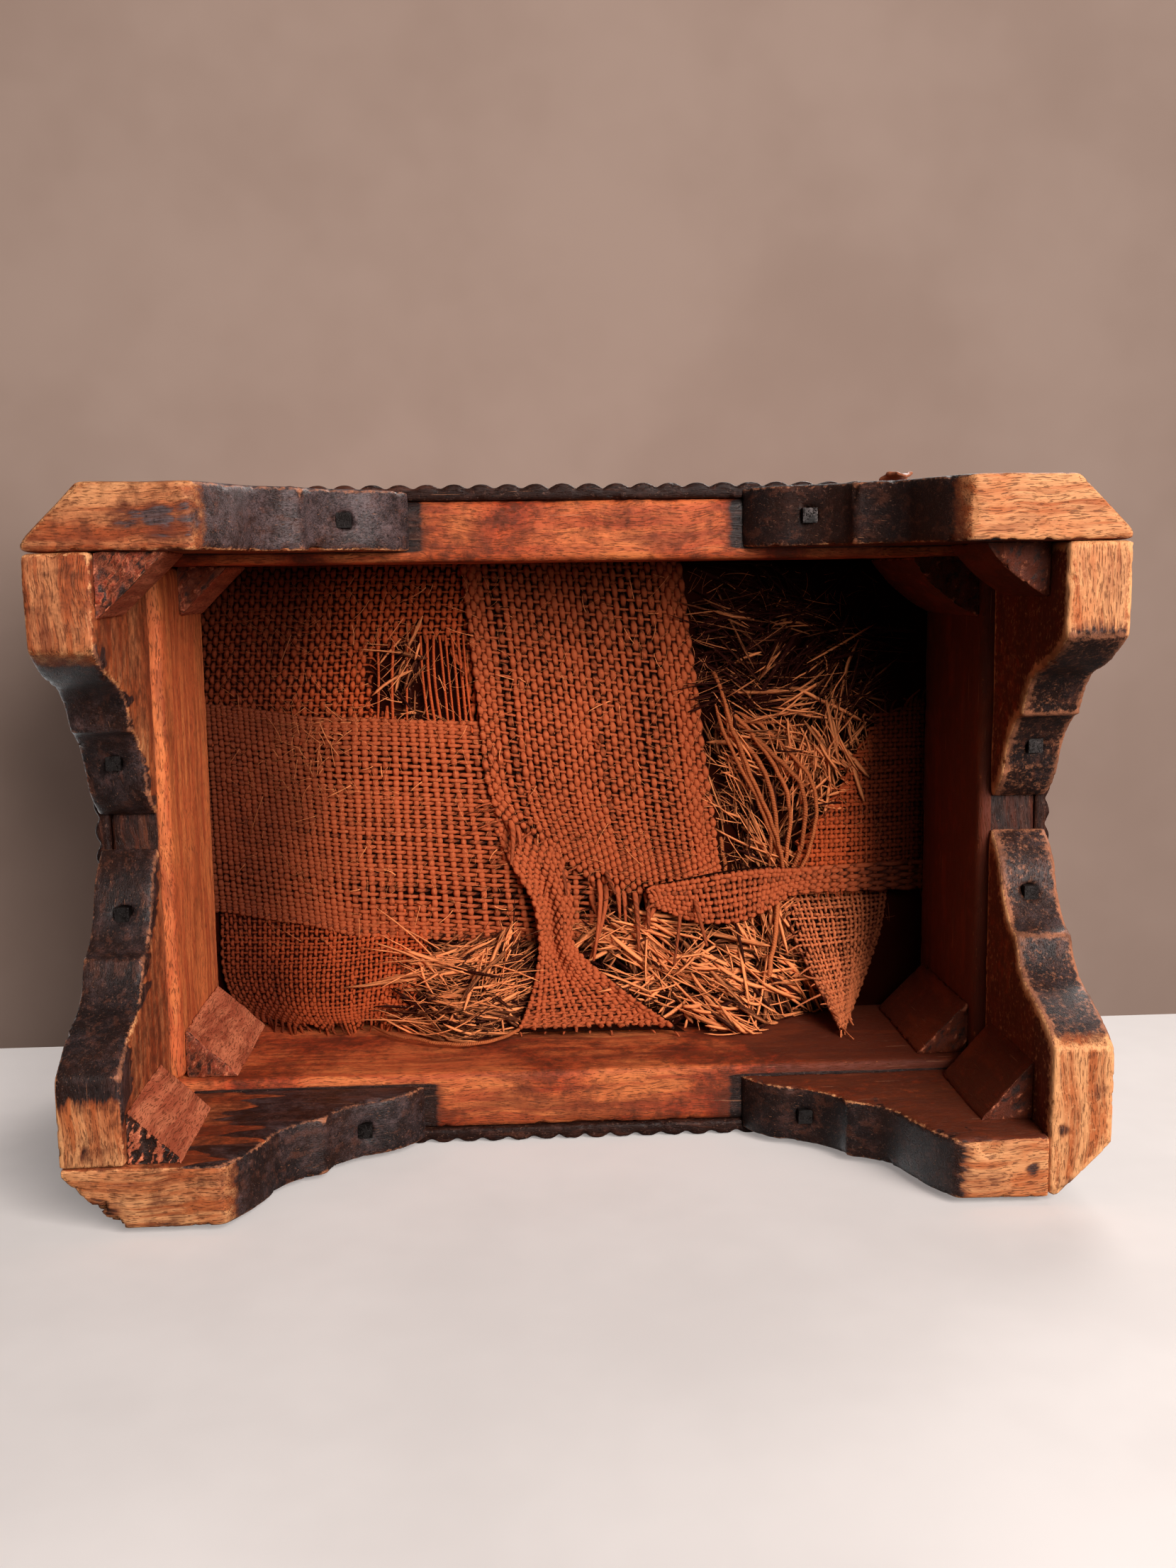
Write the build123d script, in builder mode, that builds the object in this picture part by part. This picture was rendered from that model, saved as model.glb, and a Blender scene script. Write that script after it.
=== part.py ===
from build123d import *
import os

os.makedirs("parts", exist_ok=True)

# A low upholstered stool on four scroll-cut bracket feet, standing on the floor at z = 0.
# X runs along the long side, Y along the short side, and the origin is under the middle of the seat.

# Overall sizes
body_l = 310.0
body_w = 214.0
bracket_h = 64.0
rail_h = 67.0
crown_h = 40.0

# Bracket feet, eight boards cut to one scroll pattern
bracket_t = 19.0
bracket_gap = 10.0
toe_l = 46.5
corner_cut = 16.0
scroll_run_shares = (0.0, 0.207, 0.463, 0.477, 0.784, 1.0)
scroll_rise_shares = (0.0, 0.383, 0.555, 0.617, 0.805, 1.0)
scroll_bow_shares = (-0.022, 0.031, 0.0, 0.03, -0.025)

# Rails of the seat frame, tenoned at the corners
rail_t = 19.4
rail_setback = 3.2
tenon_t = 6.4
tenon_l = 12.0
tenon_shoulder = 12.0
mortise_relief = 0.5

# Lobed moulding along the foot of the rails
moulding_h = 10.0
moulding_t = 3.2
lobe_relief = 2.0
lobe_pitch = 8.7

# Square cut nails that hold the thin end of each bracket to its rail
nail_w = 4.6
nail_run_share = 0.658
nail_sink = 1.2
nail_grip = 11.0

# Glue blocks by foot: legs along X and Y as shares of the board's thickness, lower end and
# length as shares of the board's height
foot_block_shares = {
    (-1, -1): (1.05, 1.0, 0.025, 0.47),
    (1, -1): (1.03, 0.87, 0.19, 0.62),
    (-1, 1): (0.84, 0.82, 0.03, 0.72),
    (1, 1): (0.87, 0.97, 0.22, 0.69),
}
rail_block_shares = {
    (-1, -1): (0.88, 0.88, 0.39, 0.57),
    (1, -1): (1.18, 1.03, 0.045, 0.87),
    (-1, 1): (0.93, 0.88, 0.03, 0.87),
    (1, 1): (0.93, 0.93, 0.06, 0.84),
}
hollow_share = 0.86
hollowed_corner = (1, -1)

# Webbing, base cloth and their tacks
web_w = 81.0
web_t = 1.4
cloth_t = 0.8
layer_gap = 0.3
web_lap = 11.0
cross_web_x = 1.5
cross_web_drift = 11.0
cross_web_torn_y = 38.0
long_web_y = 9.0
long_web_drift = 5.0
long_web_torn_x = 30.0
stub_web_w = 24.0
stub_web_y = 30.0
stub_web_start_x = 52.0
cloth_left_end_x = -12.0
cloth_right_start_x = 62.0
tack_head_r = 3.0
tack_head_t = 0.9
tack_shank_r = 0.8
tack_shank_l = 9.0
tack_fit = 0.1
tack_count = 5

# Stuffing and cover: the levels and their growth are shares of the crown's height
cover_t = 1.6
pad_corner_r = 16.0
pad_gap = 0.3
pad_draw_in = 2.4
pad_level_shares = (0.0, 0.2, 0.45, 0.7, 0.89, 0.975, 1.0)
pad_growth_shares = (0.0, 0.04, 0.02, -0.14, -0.46, -0.86, -1.3)
pad_corner_shares = (0.12, 0.6, 0.9, 1.1, 1.2, 1.3, 1.4)
pad_draw_shares = (0.0, 0.7, 1.0, 1.0, 1.0, 1.0, 1.0)

# Hollow worn into the crown: its depth, and its levels as shares of that depth and of the crown's top
seat_dip = 4.4
dip_depth_shares = (0.1, 0.42, 0.78, 0.97, 1.0)
dip_size_shares = (0.86, 0.66, 0.45, 0.25, 0.1)

# Dome-headed nails along the lower edge of the cover
stud_r = 4.4
stud_h = 2.6
stud_shank_r = 0.8
stud_bite = 6.8
stud_rise = 5.6
stud_pitch = 12.0
stud_fit = 0.1

# Levels and half sizes that follow from the sizes above
half_l = body_l / 2
half_w = body_w / 2
rail_base_z = bracket_h
frame_top_z = bracket_h + rail_h
rail_half_l = half_l - rail_setback
rail_half_w = half_w - rail_setback
rail_inner_l = rail_half_l - rail_t
rail_inner_w = rail_half_w - rail_t
moulding_top_z = rail_base_z + moulding_h
long_web_z = frame_top_z + web_t + layer_gap
base_cloth_z = long_web_z + web_t + layer_gap
pad_z = base_cloth_z + cloth_t + layer_gap
cover_hollow_l = rail_half_l + pad_gap
cover_hollow_w = rail_half_w + pad_gap
stud_z = moulding_top_z + stud_rise
bracket_run = (body_w - bracket_gap) / 2
scroll_run = bracket_run - toe_l
nail_reach = toe_l + nail_run_share * scroll_run
frame_corner_r = pad_corner_shares[0] * pad_corner_r

side_names = {-1: "left", 1: "right"}
end_names = {-1: "front", 1: "back"}
corners = [(sx, sy) for sx in side_names for sy in end_names]
side_run_corner = (1, 1)


def corner_name(sx, sy):
    return f"{end_names[sy]}_{side_names[sx]}"


# Rectangle between two opposite corners in the plane of the current sketch
def plate_outline(x_low, y_low, x_high, y_high):
    Polyline((x_low, y_low), (x_high, y_low), (x_high, y_high), (x_low, y_high), close=True)


# Outline of one bracket, from start (its distance from the foot's corner) to the end of the scroll
def bracket_outline(start):
    knots = [
        (toe_l + run * scroll_run, rise * bracket_h)
        for run, rise in zip(scroll_run_shares, scroll_rise_shares)
    ]
    Line((start, bracket_h), (start, 0))
    Line((start, 0), knots[0])
    for a, b, bow in zip(knots, knots[1:], scroll_bow_shares):
        if bow:
            SagittaArc(a, b, bow * bracket_h)
        else:
            Line(a, b)
    Line(knots[-1], (start, bracket_h))


# Height of the scroll above the floor at a distance from the corner, on the chord between its knots
def scroll_height(reach):
    for i in range(len(scroll_bow_shares)):
        low = toe_l + scroll_run_shares[i] * scroll_run
        high = toe_l + scroll_run_shares[i + 1] * scroll_run
        if low <= reach <= high:
            step = (reach - low) / (high - low)
            rise = scroll_rise_shares[i] + step * (scroll_rise_shares[i + 1] - scroll_rise_shares[i])
            return rise * bracket_h
    return 0.0


# Places of the cut nails: one through each bracket
def nail_places(sx, sy):
    along_x = (sx * (half_l - nail_reach), sy * (half_w - bracket_t / 2))
    along_y = (sx * (half_l - bracket_t / 2), sy * (half_w - nail_reach))
    return along_x, along_y


all_nail_places = [place for sx, sy in corners for place in nail_places(sx, sy)]

# Bracket feet
for sx, sy in corners:
    side_runs_through = (sx, sy) == side_run_corner
    foot_corner = (sx * half_l, sy * half_w, 0)
    for runs_along_x in (True, False):
        runs_through = side_runs_through != runs_along_x
        if runs_along_x:
            face = Plane(origin=foot_corner, x_dir=(-sx, 0, 0), z_dir=(0, sx, 0))
            inward = -sx * sy * bracket_t
            node = f"bracket_{corner_name(sx, sy)}_long"
        else:
            face = Plane(origin=foot_corner, x_dir=(0, -sy, 0), z_dir=(-sy, 0, 0))
            inward = sx * sy * bracket_t
            node = f"bracket_{corner_name(sx, sy)}_side"
        with BuildPart() as bracket:
            with BuildSketch(face):
                with BuildLine():
                    bracket_outline(0 if runs_through else bracket_t)
                make_face()
            extrude(amount=inward)
            if runs_through:
                arris = bracket.edges().filter_by(Axis.Z).sort_by_distance(foot_corner)[0]
                chamfer(arris, corner_cut)
            with BuildSketch(Plane.XY):
                with Locations(*nail_places(sx, sy)):
                    Rectangle(nail_w, nail_w)
            extrude(amount=bracket_h, mode=Mode.SUBTRACT)
        bracket.part.label = node
        export_step(bracket.part, f"parts/{node}.step")

# Square cut nails, driven up through the scrolls into the rails
nail_base_z = scroll_height(nail_reach) + nail_sink
with BuildPart() as bracket_nails:
    with BuildSketch(Plane.XY.offset(nail_base_z)):
        with Locations(*all_nail_places):
            Rectangle(nail_w, nail_w)
    extrude(amount=rail_base_z + nail_grip - nail_base_z)
bracket_nails.part.label = "bracket_nails"
export_step(bracket_nails.part, "parts/bracket_nails.step")


# Triangular section of a glue block in the corner (x, y), with its long face flat or hollowed
def block_section(x, y, sx, sy, leg_x, leg_y, hollowed):
    on_x = (x - sx * leg_x, y)
    on_y = (x, y - sy * leg_y)
    Line((x, y), on_x)
    if hollowed:
        toward = hollow_share / 2
        ThreePointArc(on_x, (x - sx * leg_x * (1 - toward), y - sy * leg_y * (1 - toward)), on_y)
    else:
        Line(on_x, on_y)
    Line(on_y, (x, y))


# Glue blocks, in the feet and between the rails
block_sets = {
    "foot_block": (foot_block_shares, half_l - bracket_t, half_w - bracket_t, bracket_t, 0, bracket_h),
    "rail_block": (rail_block_shares, rail_inner_l, rail_inner_w, rail_t, rail_base_z, rail_h),
}
for kind, (shares, reach_x, reach_y, board_t, board_z, board_h) in block_sets.items():
    for (sx, sy), (leg_x, leg_y, low, length) in shares.items():
        node = f"{kind}_{corner_name(sx, sy)}"
        with BuildPart() as block:
            with BuildSketch(Plane.XY.offset(board_z + low * board_h)):
                with BuildLine():
                    block_section(
                        sx * reach_x, sy * reach_y, sx, sy,
                        leg_x * board_t, leg_y * board_t, (sx, sy) == hollowed_corner,
                    )
                make_face()
            extrude(amount=length * board_h)
        block.part.label = node
        export_step(block.part, f"parts/{node}.step")


# Row of stud places along one side, as distances from its middle
def stud_row(half_side):
    count = round(2 * half_side / stud_pitch)
    pitch = 2 * half_side / count
    return [(i + 0.5) * pitch - half_side for i in range(count)]


# Planes on the outside of the rails, looking outwards, with the stud places along each
stud_faces = {
    "front": (Plane(origin=(0, -rail_half_w, stud_z), x_dir=(1, 0, 0), z_dir=(0, -1, 0)), rail_half_l),
    "back": (Plane(origin=(0, rail_half_w, stud_z), x_dir=(-1, 0, 0), z_dir=(0, 1, 0)), rail_half_l),
    "left": (Plane(origin=(-rail_half_l, 0, stud_z), x_dir=(0, -1, 0), z_dir=(-1, 0, 0)), rail_half_w),
    "right": (Plane(origin=(rail_half_l, 0, stud_z), x_dir=(0, 1, 0), z_dir=(1, 0, 0)), rail_half_w),
}


# Cut the stud holes of the named sides into the part being built
def cut_stud_holes(sides, start, depth):
    for side in sides:
        face, half_side = stud_faces[side]
        with BuildSketch(face.offset(start)) as holes:
            with Locations(*[(place, 0) for place in stud_row(half_side)]):
                Circle(stud_shank_r + stud_fit)
        extrude(holes.sketch, amount=-depth, mode=Mode.SUBTRACT)


# Places of the webbing tacks: a row across each end of the two long straps
tack_step = web_w / tack_count
tack_spread = [(i + 0.5) * tack_step - web_w / 2 for i in range(tack_count)]
tack_inset = rail_t / 2
cross_tacks = [
    (cross_web_x - cross_web_drift / 2 + place, -rail_half_w + tack_inset) for place in tack_spread
]
long_tacks = [
    (-rail_half_l + tack_inset, long_web_y - long_web_drift / 2 + place) for place in tack_spread
]
stub_tacks = [
    (rail_half_l - tack_inset, stub_web_y + place * stub_web_w / web_w) for place in tack_spread[::2]
]
tack_beds = {
    "front": (cross_tacks, frame_top_z + web_t),
    "left": (long_tacks, long_web_z + web_t),
    "right": (stub_tacks, long_web_z + web_t),
}


# Cut the tack holes of the named bed down from the head's seat
def cut_tack_holes(bed):
    places, seat_z = tack_beds[bed]
    with BuildSketch(Plane.XY.offset(seat_z)) as holes:
        with Locations(*places):
            Circle(tack_shank_r + tack_fit)
    extrude(holes.sketch, amount=-(tack_shank_l + mortise_relief), mode=Mode.SUBTRACT)


# Cut the nail holes up into the foot of a rail
def cut_nail_holes():
    with BuildSketch(Plane.XY.offset(rail_base_z)) as holes:
        with Locations(*all_nail_places):
            Rectangle(nail_w, nail_w)
    extrude(holes.sketch, amount=nail_grip, mode=Mode.SUBTRACT)


tenon_z = rail_base_z + tenon_shoulder
tenon_h = rail_h - 2 * tenon_shoulder
tenon_x = rail_half_l - rail_t / 2

# Long rails, which run through to the corners and take the tenons of the short ones
for sy, end in end_names.items():
    with BuildPart() as long_rail:
        with BuildSketch(Plane.XY.offset(rail_base_z)):
            with BuildLine():
                plate_outline(-rail_half_l, sy * rail_inner_w, rail_half_l, sy * rail_half_w)
            make_face()
        extrude(amount=rail_h)
        outer_edges = long_rail.edges().filter_by(Axis.Z).group_by(Axis.Y)[0 if sy < 0 else -1]
        fillet(outer_edges, frame_corner_r)
        mortise_end = rail_inner_w + tenon_l + mortise_relief
        with BuildSketch(Plane.XY.offset(tenon_z)):
            for sx in side_names:
                with BuildLine():
                    plate_outline(
                        sx * tenon_x - tenon_t / 2, sy * rail_inner_w,
                        sx * tenon_x + tenon_t / 2, sy * mortise_end,
                    )
                make_face()
        extrude(amount=tenon_h, mode=Mode.SUBTRACT)
        cut_nail_holes()
        cut_stud_holes((end, "left", "right"), 0, stud_bite)
        if end in tack_beds:
            cut_tack_holes(end)
    long_rail.part.label = f"{end}_rail"
    export_step(long_rail.part, f"parts/{end}_rail.step")

# Short rails, between the long ones
for sx, side in side_names.items():
    with BuildPart() as short_rail:
        with BuildSketch(Plane.XY.offset(rail_base_z)):
            with BuildLine():
                plate_outline(sx * rail_inner_l, -rail_inner_w, sx * rail_half_l, rail_inner_w)
            make_face()
        extrude(amount=rail_h)
        tenon_end = rail_inner_w + tenon_l
        with BuildSketch(Plane.XY.offset(tenon_z)):
            with BuildLine():
                plate_outline(
                    sx * tenon_x - tenon_t / 2, -tenon_end, sx * tenon_x + tenon_t / 2, tenon_end
                )
            make_face()
        extrude(amount=tenon_h)
        cut_nail_holes()
        cut_stud_holes((side,), 0, stud_bite)
        if side in tack_beds:
            cut_tack_holes(side)
    short_rail.part.label = f"{side}_rail"
    export_step(short_rail.part, f"parts/{side}_rail.step")

# Lobed mouldings, mitred at the corners
moulding_faces = {
    "front": (Plane(origin=(0, -rail_half_w, rail_base_z), x_dir=(-1, 0, 0)), rail_half_l),
    "back": (Plane(origin=(0, rail_half_w, rail_base_z), x_dir=(1, 0, 0)), rail_half_l),
    "left": (Plane(origin=(-rail_half_l, 0, rail_base_z), x_dir=(0, 1, 0)), rail_half_w),
    "right": (Plane(origin=(rail_half_l, 0, rail_base_z), x_dir=(0, -1, 0)), rail_half_w),
}
for side, (face, half_side) in moulding_faces.items():
    outer_half = half_side + moulding_t
    lobe_count = round(2 * outer_half / lobe_pitch)
    pitch = 2 * outer_half / lobe_count
    lobe_ends = [(i * pitch - outer_half, moulding_t) for i in range(lobe_count + 1)]
    with BuildPart() as moulding:
        with BuildSketch(face):
            with BuildLine():
                Line((half_side, 0), (-half_side, 0))
                Line((-half_side, 0), lobe_ends[0])
                for a, b in zip(lobe_ends, lobe_ends[1:]):
                    SagittaArc(a, b, lobe_relief)
                Line(lobe_ends[-1], (half_side, 0))
            make_face()
        extrude(amount=moulding_h)
    moulding.part.label = f"{side}_moulding"
    export_step(moulding.part, f"parts/{side}_moulding.step")


# A strap of webbing from one end's edge points to the other's, cut as a flat slanting plate
def strap_outline(near_low, near_high, far_high, far_low):
    Polyline(near_low, near_high, far_high, far_low, close=True)


half_web = web_w / 2
cross_near_y = -rail_half_w + tack_inset - web_lap / 2
cross_near_x = cross_web_x - cross_web_drift / 2
cross_far_x = cross_web_x + cross_web_drift / 2
with BuildPart() as cross_webbing:
    with BuildSketch(Plane.XY.offset(frame_top_z)):
        with BuildLine():
            strap_outline(
                (cross_near_x - half_web, cross_near_y), (cross_near_x + half_web, cross_near_y),
                (cross_far_x + half_web, cross_web_torn_y), (cross_far_x - half_web, cross_web_torn_y),
            )
        make_face()
    extrude(amount=web_t)
    cut_tack_holes("front")
cross_webbing.part.label = "cross_webbing"
export_step(cross_webbing.part, "parts/cross_webbing.step")

long_near_x = -rail_half_l + tack_inset - web_lap / 2
long_near_y = long_web_y - long_web_drift / 2
long_far_y = long_web_y + long_web_drift / 2
with BuildPart() as long_webbing:
    with BuildSketch(Plane.XY.offset(long_web_z)):
        with BuildLine():
            strap_outline(
                (long_near_x, long_near_y - half_web), (long_near_x, long_near_y + half_web),
                (long_web_torn_x, long_far_y + half_web), (long_web_torn_x, long_far_y - half_web),
            )
        make_face()
    extrude(amount=web_t)
    cut_tack_holes("left")
long_webbing.part.label = "long_webbing"
export_step(long_webbing.part, "parts/long_webbing.step")

# The narrow torn end of the long strap that is left at the right rail
stub_end_x = rail_half_l - tack_inset + web_lap / 2
half_stub = stub_web_w / 2
with BuildPart() as torn_webbing:
    with BuildSketch(Plane.XY.offset(long_web_z)):
        with BuildLine():
            plate_outline(stub_web_start_x, stub_web_y - half_stub, stub_end_x, stub_web_y + half_stub)
        make_face()
    extrude(amount=web_t)
    cut_tack_holes("right")
torn_webbing.part.label = "torn_webbing"
export_step(torn_webbing.part, "parts/torn_webbing.step")

# Tacks of the webbing, with their heads let into the base cloth
with BuildPart() as webbing_tacks:
    for places, seat_z in tack_beds.values():
        with BuildSketch(Plane.XY.offset(seat_z)):
            with Locations(*places):
                Circle(tack_head_r)
        extrude(amount=tack_head_t)
        with BuildSketch(Plane.XY.offset(seat_z)):
            with Locations(*places):
                Circle(tack_shank_r)
        extrude(amount=-tack_shank_l)
webbing_tacks.part.label = "webbing_tacks"
export_step(webbing_tacks.part, "parts/webbing_tacks.step")

# Base cloth under the stuffing, torn in two, with room for the tack heads along its edges
cloth_edge_l = rail_half_l - tack_inset + tack_head_r
cloth_edge_w = rail_half_w - tack_inset + tack_head_r
cloth_spans = {
    "base_cloth_left": (-cloth_edge_l, cloth_left_end_x),
    "base_cloth_right": (cloth_right_start_x, cloth_edge_l),
}
for node, (x_low, x_high) in cloth_spans.items():
    with BuildPart() as base_cloth:
        with BuildSketch(Plane.XY.offset(base_cloth_z)):
            with BuildLine():
                plate_outline(x_low, -cloth_edge_w, x_high, cloth_edge_w)
            make_face()
            with Locations(*(cross_tacks + long_tacks + stub_tacks)):
                Circle(tack_head_r + layer_gap, mode=Mode.SUBTRACT)
        extrude(amount=cloth_t)
    base_cloth.part.label = node
    export_step(base_cloth.part, f"parts/{node}.step")


# One side of a level of the pad, drawn in towards the middle by draw_in
def pad_side(start, end, draw_in):
    if draw_in:
        SagittaArc(start, end, draw_in)
    else:
        Line(start, end)


# One level of the pad: a rectangle with rounded corners whose sides draw in
def pad_section(half_x, half_y, corner_r, draw_in):
    ends_x = half_x - corner_r
    ends_y = half_y - corner_r
    pad_side((-ends_x, -half_y), (ends_x, -half_y), draw_in)
    RadiusArc((ends_x, -half_y), (half_x, -ends_y), -corner_r)
    pad_side((half_x, -ends_y), (half_x, ends_y), draw_in)
    RadiusArc((half_x, ends_y), (ends_x, half_y), -corner_r)
    pad_side((ends_x, half_y), (-ends_x, half_y), draw_in)
    RadiusArc((-ends_x, half_y), (-half_x, ends_y), -corner_r)
    pad_side((-half_x, ends_y), (-half_x, -ends_y), draw_in)
    RadiusArc((-half_x, -ends_y), (-ends_x, -half_y), -corner_r)


# Crowned and dipped pad on the base cloth, grown outwards and upwards by a margin from the stuffing's size
def crowned_pad(margin, mode):
    levels = []
    shares = zip(pad_level_shares, pad_growth_shares, pad_corner_shares, pad_draw_shares)
    for level, growth, corner, draw in shares:
        grow = growth * crown_h + margin
        sizes = (
            rail_half_l + grow, rail_half_w + grow,
            corner * pad_corner_r + margin, draw * pad_draw_in,
        )
        levels.append((pad_z + level * (crown_h + margin), sizes))
    top_z, top_sizes = levels[-1]
    for depth, share in zip(dip_depth_shares, dip_size_shares):
        levels.append((top_z - depth * seat_dip, [size * share for size in top_sizes]))
    sections = []
    for level_z, sizes in levels:
        with BuildSketch(Plane.XY.offset(level_z)) as section:
            with BuildLine():
                pad_section(*sizes)
            make_face()
        sections.append(section.sketch)
    loft(sections, mode=mode)


# Straw stuffing
with BuildPart() as straw_stuffing:
    crowned_pad(0, Mode.ADD)
straw_stuffing.part.label = "straw_stuffing"
export_step(straw_stuffing.part, "parts/straw_stuffing.step")

# Cover, drawn down over the rails to the moulding
with BuildPart() as seat_cover:
    skirt_r = frame_corner_r + pad_gap + cover_t
    with BuildSketch(Plane.XY.offset(moulding_top_z)):
        RectangleRounded(2 * (cover_hollow_l + cover_t), 2 * (cover_hollow_w + cover_t), skirt_r)
    extrude(amount=pad_z - moulding_top_z)
    crowned_pad(pad_gap + cover_t, Mode.ADD)
    with BuildSketch(Plane.XY.offset(moulding_top_z)):
        RectangleRounded(2 * cover_hollow_l, 2 * cover_hollow_w, skirt_r - cover_t)
    extrude(amount=pad_z - moulding_top_z, mode=Mode.SUBTRACT)
    crowned_pad(pad_gap, Mode.SUBTRACT)
    cut_stud_holes(stud_faces, pad_gap + cover_t, cover_t)
seat_cover.part.label = "seat_cover"
export_step(seat_cover.part, "parts/seat_cover.step")

# Studs: a domed head on a plain shank, through the cover into the rail
with BuildPart() as cover_studs:
    for face, half_side in stud_faces.values():
        places = [(place, 0) for place in stud_row(half_side)]
        seat = face.offset(pad_gap + cover_t)
        with BuildSketch(seat):
            with Locations(*places):
                Circle(stud_shank_r)
        extrude(amount=-(pad_gap + cover_t + stud_bite - mortise_relief))
        dome_r = (stud_r ** 2 + stud_h ** 2) / (2 * stud_h)
        for place, _ in places:
            stud_axis = Plane(origin=seat.from_local_coords((place, 0, 0)), x_dir=seat.x_dir, z_dir=seat.y_dir)
            with BuildSketch(stud_axis):
                with BuildLine():
                    Line((0, 0), (stud_r, 0))
                    RadiusArc((stud_r, 0), (0, -stud_h), dome_r)
                    Line((0, -stud_h), (0, 0))
                make_face()
            revolve(axis=Axis(stud_axis.origin, seat.z_dir))
cover_studs.part.label = "cover_studs"
export_step(cover_studs.part, "parts/cover_studs.step")
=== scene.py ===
"""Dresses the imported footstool: scorched bracket feet, torn jute webbing, straw and a leather seat."""
import logging
import math
from dataclasses import dataclass, field
from enum import Enum
from typing import Callable, Optional, Sequence

import bpy
import numpy as np
from mathutils import Euler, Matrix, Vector
from mathutils.bvhtree import BVHTree


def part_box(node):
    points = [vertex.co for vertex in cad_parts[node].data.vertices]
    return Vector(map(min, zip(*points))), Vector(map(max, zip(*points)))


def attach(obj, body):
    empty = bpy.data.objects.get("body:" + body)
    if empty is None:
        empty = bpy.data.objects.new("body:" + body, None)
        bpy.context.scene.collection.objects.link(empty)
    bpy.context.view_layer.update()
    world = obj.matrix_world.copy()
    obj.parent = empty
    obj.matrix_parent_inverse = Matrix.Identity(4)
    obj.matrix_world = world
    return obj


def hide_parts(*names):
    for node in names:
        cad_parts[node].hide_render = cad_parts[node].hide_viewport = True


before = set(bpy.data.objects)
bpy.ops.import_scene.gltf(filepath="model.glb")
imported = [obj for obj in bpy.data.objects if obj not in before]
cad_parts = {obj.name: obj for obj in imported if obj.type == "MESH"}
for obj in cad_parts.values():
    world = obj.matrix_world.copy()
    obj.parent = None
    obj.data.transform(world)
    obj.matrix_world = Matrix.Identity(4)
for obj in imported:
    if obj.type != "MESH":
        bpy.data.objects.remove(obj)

MM = 0.001
TO_MM = (1000, 1000, 1000)
BODY = "root"
log = logging.getLogger("footstool")

Socket = bpy.types.NodeSocket
Path = Sequence[Sequence[float]]


# Numbers, noise and small geometry helpers

def span(value: np.ndarray, low: float, high: float) -> np.ndarray:
    """Smooth step from 0 at low to 1 at high."""
    share = np.clip((np.asarray(value, float) - low) / (high - low), 0, 1)
    return share * share * (3 - 2 * share)


def lattice_noise(points: np.ndarray, seed: int = 0, octaves: int = 1) -> np.ndarray:
    """Smooth repeatable noise.

    Args:
        points: rows of coordinates, one lattice cell to a unit.
        seed: picks another pattern.
        octaves: how many finer layers are added.

    Returns:
        One value from 0 to 1 for each row.
    """
    total = np.zeros(len(points))
    size = 0.0
    for octave in range(octaves):
        scaled = points * 2 ** octave + 7.3 * octave
        cell = np.floor(scaled).astype(np.int64)
        part = scaled - cell
        part = part * part * (3 - 2 * part)
        value = np.zeros(len(points))
        for corner in range(8):
            step = np.array([corner & 1, corner >> 1 & 1, corner >> 2 & 1])
            mixed = ((cell + step) * np.array([374761393, 668265263, 2246822519])).sum(1) + seed * 3266489917
            mixed = (mixed ^ (mixed >> 13)) * 1274126177
            mixed ^= mixed >> 16
            value += (mixed & 0xFFFF) / 65535 * np.where(step, part, 1 - part).prod(1)
        total += value / 2 ** octave
        size += 1 / 2 ** octave
    return total / size


def smooth_path(points: Path, count: int) -> np.ndarray:
    """A curve through the points.

    Args:
        points: places that the curve passes.
        count: how many places to return.

    Returns:
        Rows of coordinates at even steps of the Catmull-Rom curve.
    """
    knots = np.array(points, float)
    knots = np.vstack([2 * knots[0] - knots[1], knots, 2 * knots[-1] - knots[-2]])
    place = np.linspace(0, len(points) - 1, count)
    first = np.minimum(place.astype(int), len(points) - 2)
    t = (place - first)[:, None]
    a, b, c, d = (knots[first + i] for i in range(4))
    square, cube = 2 * a - 5 * b + 4 * c - d, 3 * b - a - 3 * c + d
    return 0.5 * (2 * b + (c - a) * t + square * t ** 2 + cube * t ** 3)


def inside(outline: Path, x: np.ndarray, y: np.ndarray) -> np.ndarray:
    """Which of the places (x, y) lie in a closed outline."""
    found = np.zeros(np.shape(x), bool)
    for (ax, ay), (bx, by) in zip(outline, (*outline[1:], outline[0])):
        if ay != by:
            crosses = (ay > y) != (by > y)
            found ^= crosses & (x < (bx - ax) * (y - ay) / (by - ay) + ax)
    return found


def unit(rows: np.ndarray) -> np.ndarray:
    """Rows scaled to length 1."""
    return rows / np.maximum(np.linalg.norm(rows, axis=-1, keepdims=True), 1e-12)


# Scene helpers

def only(obj: bpy.types.Object) -> None:
    """Selects this object alone and makes it the active one."""
    bpy.ops.object.select_all(action="DESELECT")
    obj.select_set(True)
    bpy.context.view_layer.objects.active = obj


def finish_modifier(obj: bpy.types.Object, kind: str, **settings: object) -> None:
    """Adds one modifier and applies it.

    Args:
        obj: the piece.
        kind: Blender's name for the modifier.
        settings: its settings by name.
    """
    only(obj)
    added = obj.modifiers.new(kind.title(), kind)
    for name, value in settings.items():
        setattr(added, name, value)
    bpy.ops.object.modifier_apply(modifier=added.name)


def read_points(obj: bpy.types.Object) -> np.ndarray:
    """The vertices in millimetres."""
    flat = np.empty(len(obj.data.vertices) * 3)
    obj.data.vertices.foreach_get("co", flat)
    return flat.reshape(-1, 3) / MM


def write_points(obj: bpy.types.Object, points: np.ndarray) -> None:
    """Moves the vertices to these places, in millimetres."""
    obj.data.vertices.foreach_set("co", (points * MM).ravel())
    obj.data.update()


def read_normals(obj: bpy.types.Object) -> np.ndarray:
    """The vertex normals."""
    flat = np.empty(len(obj.data.vertices) * 3)
    obj.data.vertex_normals.foreach_get("vector", flat)
    return flat.reshape(-1, 3)


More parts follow.
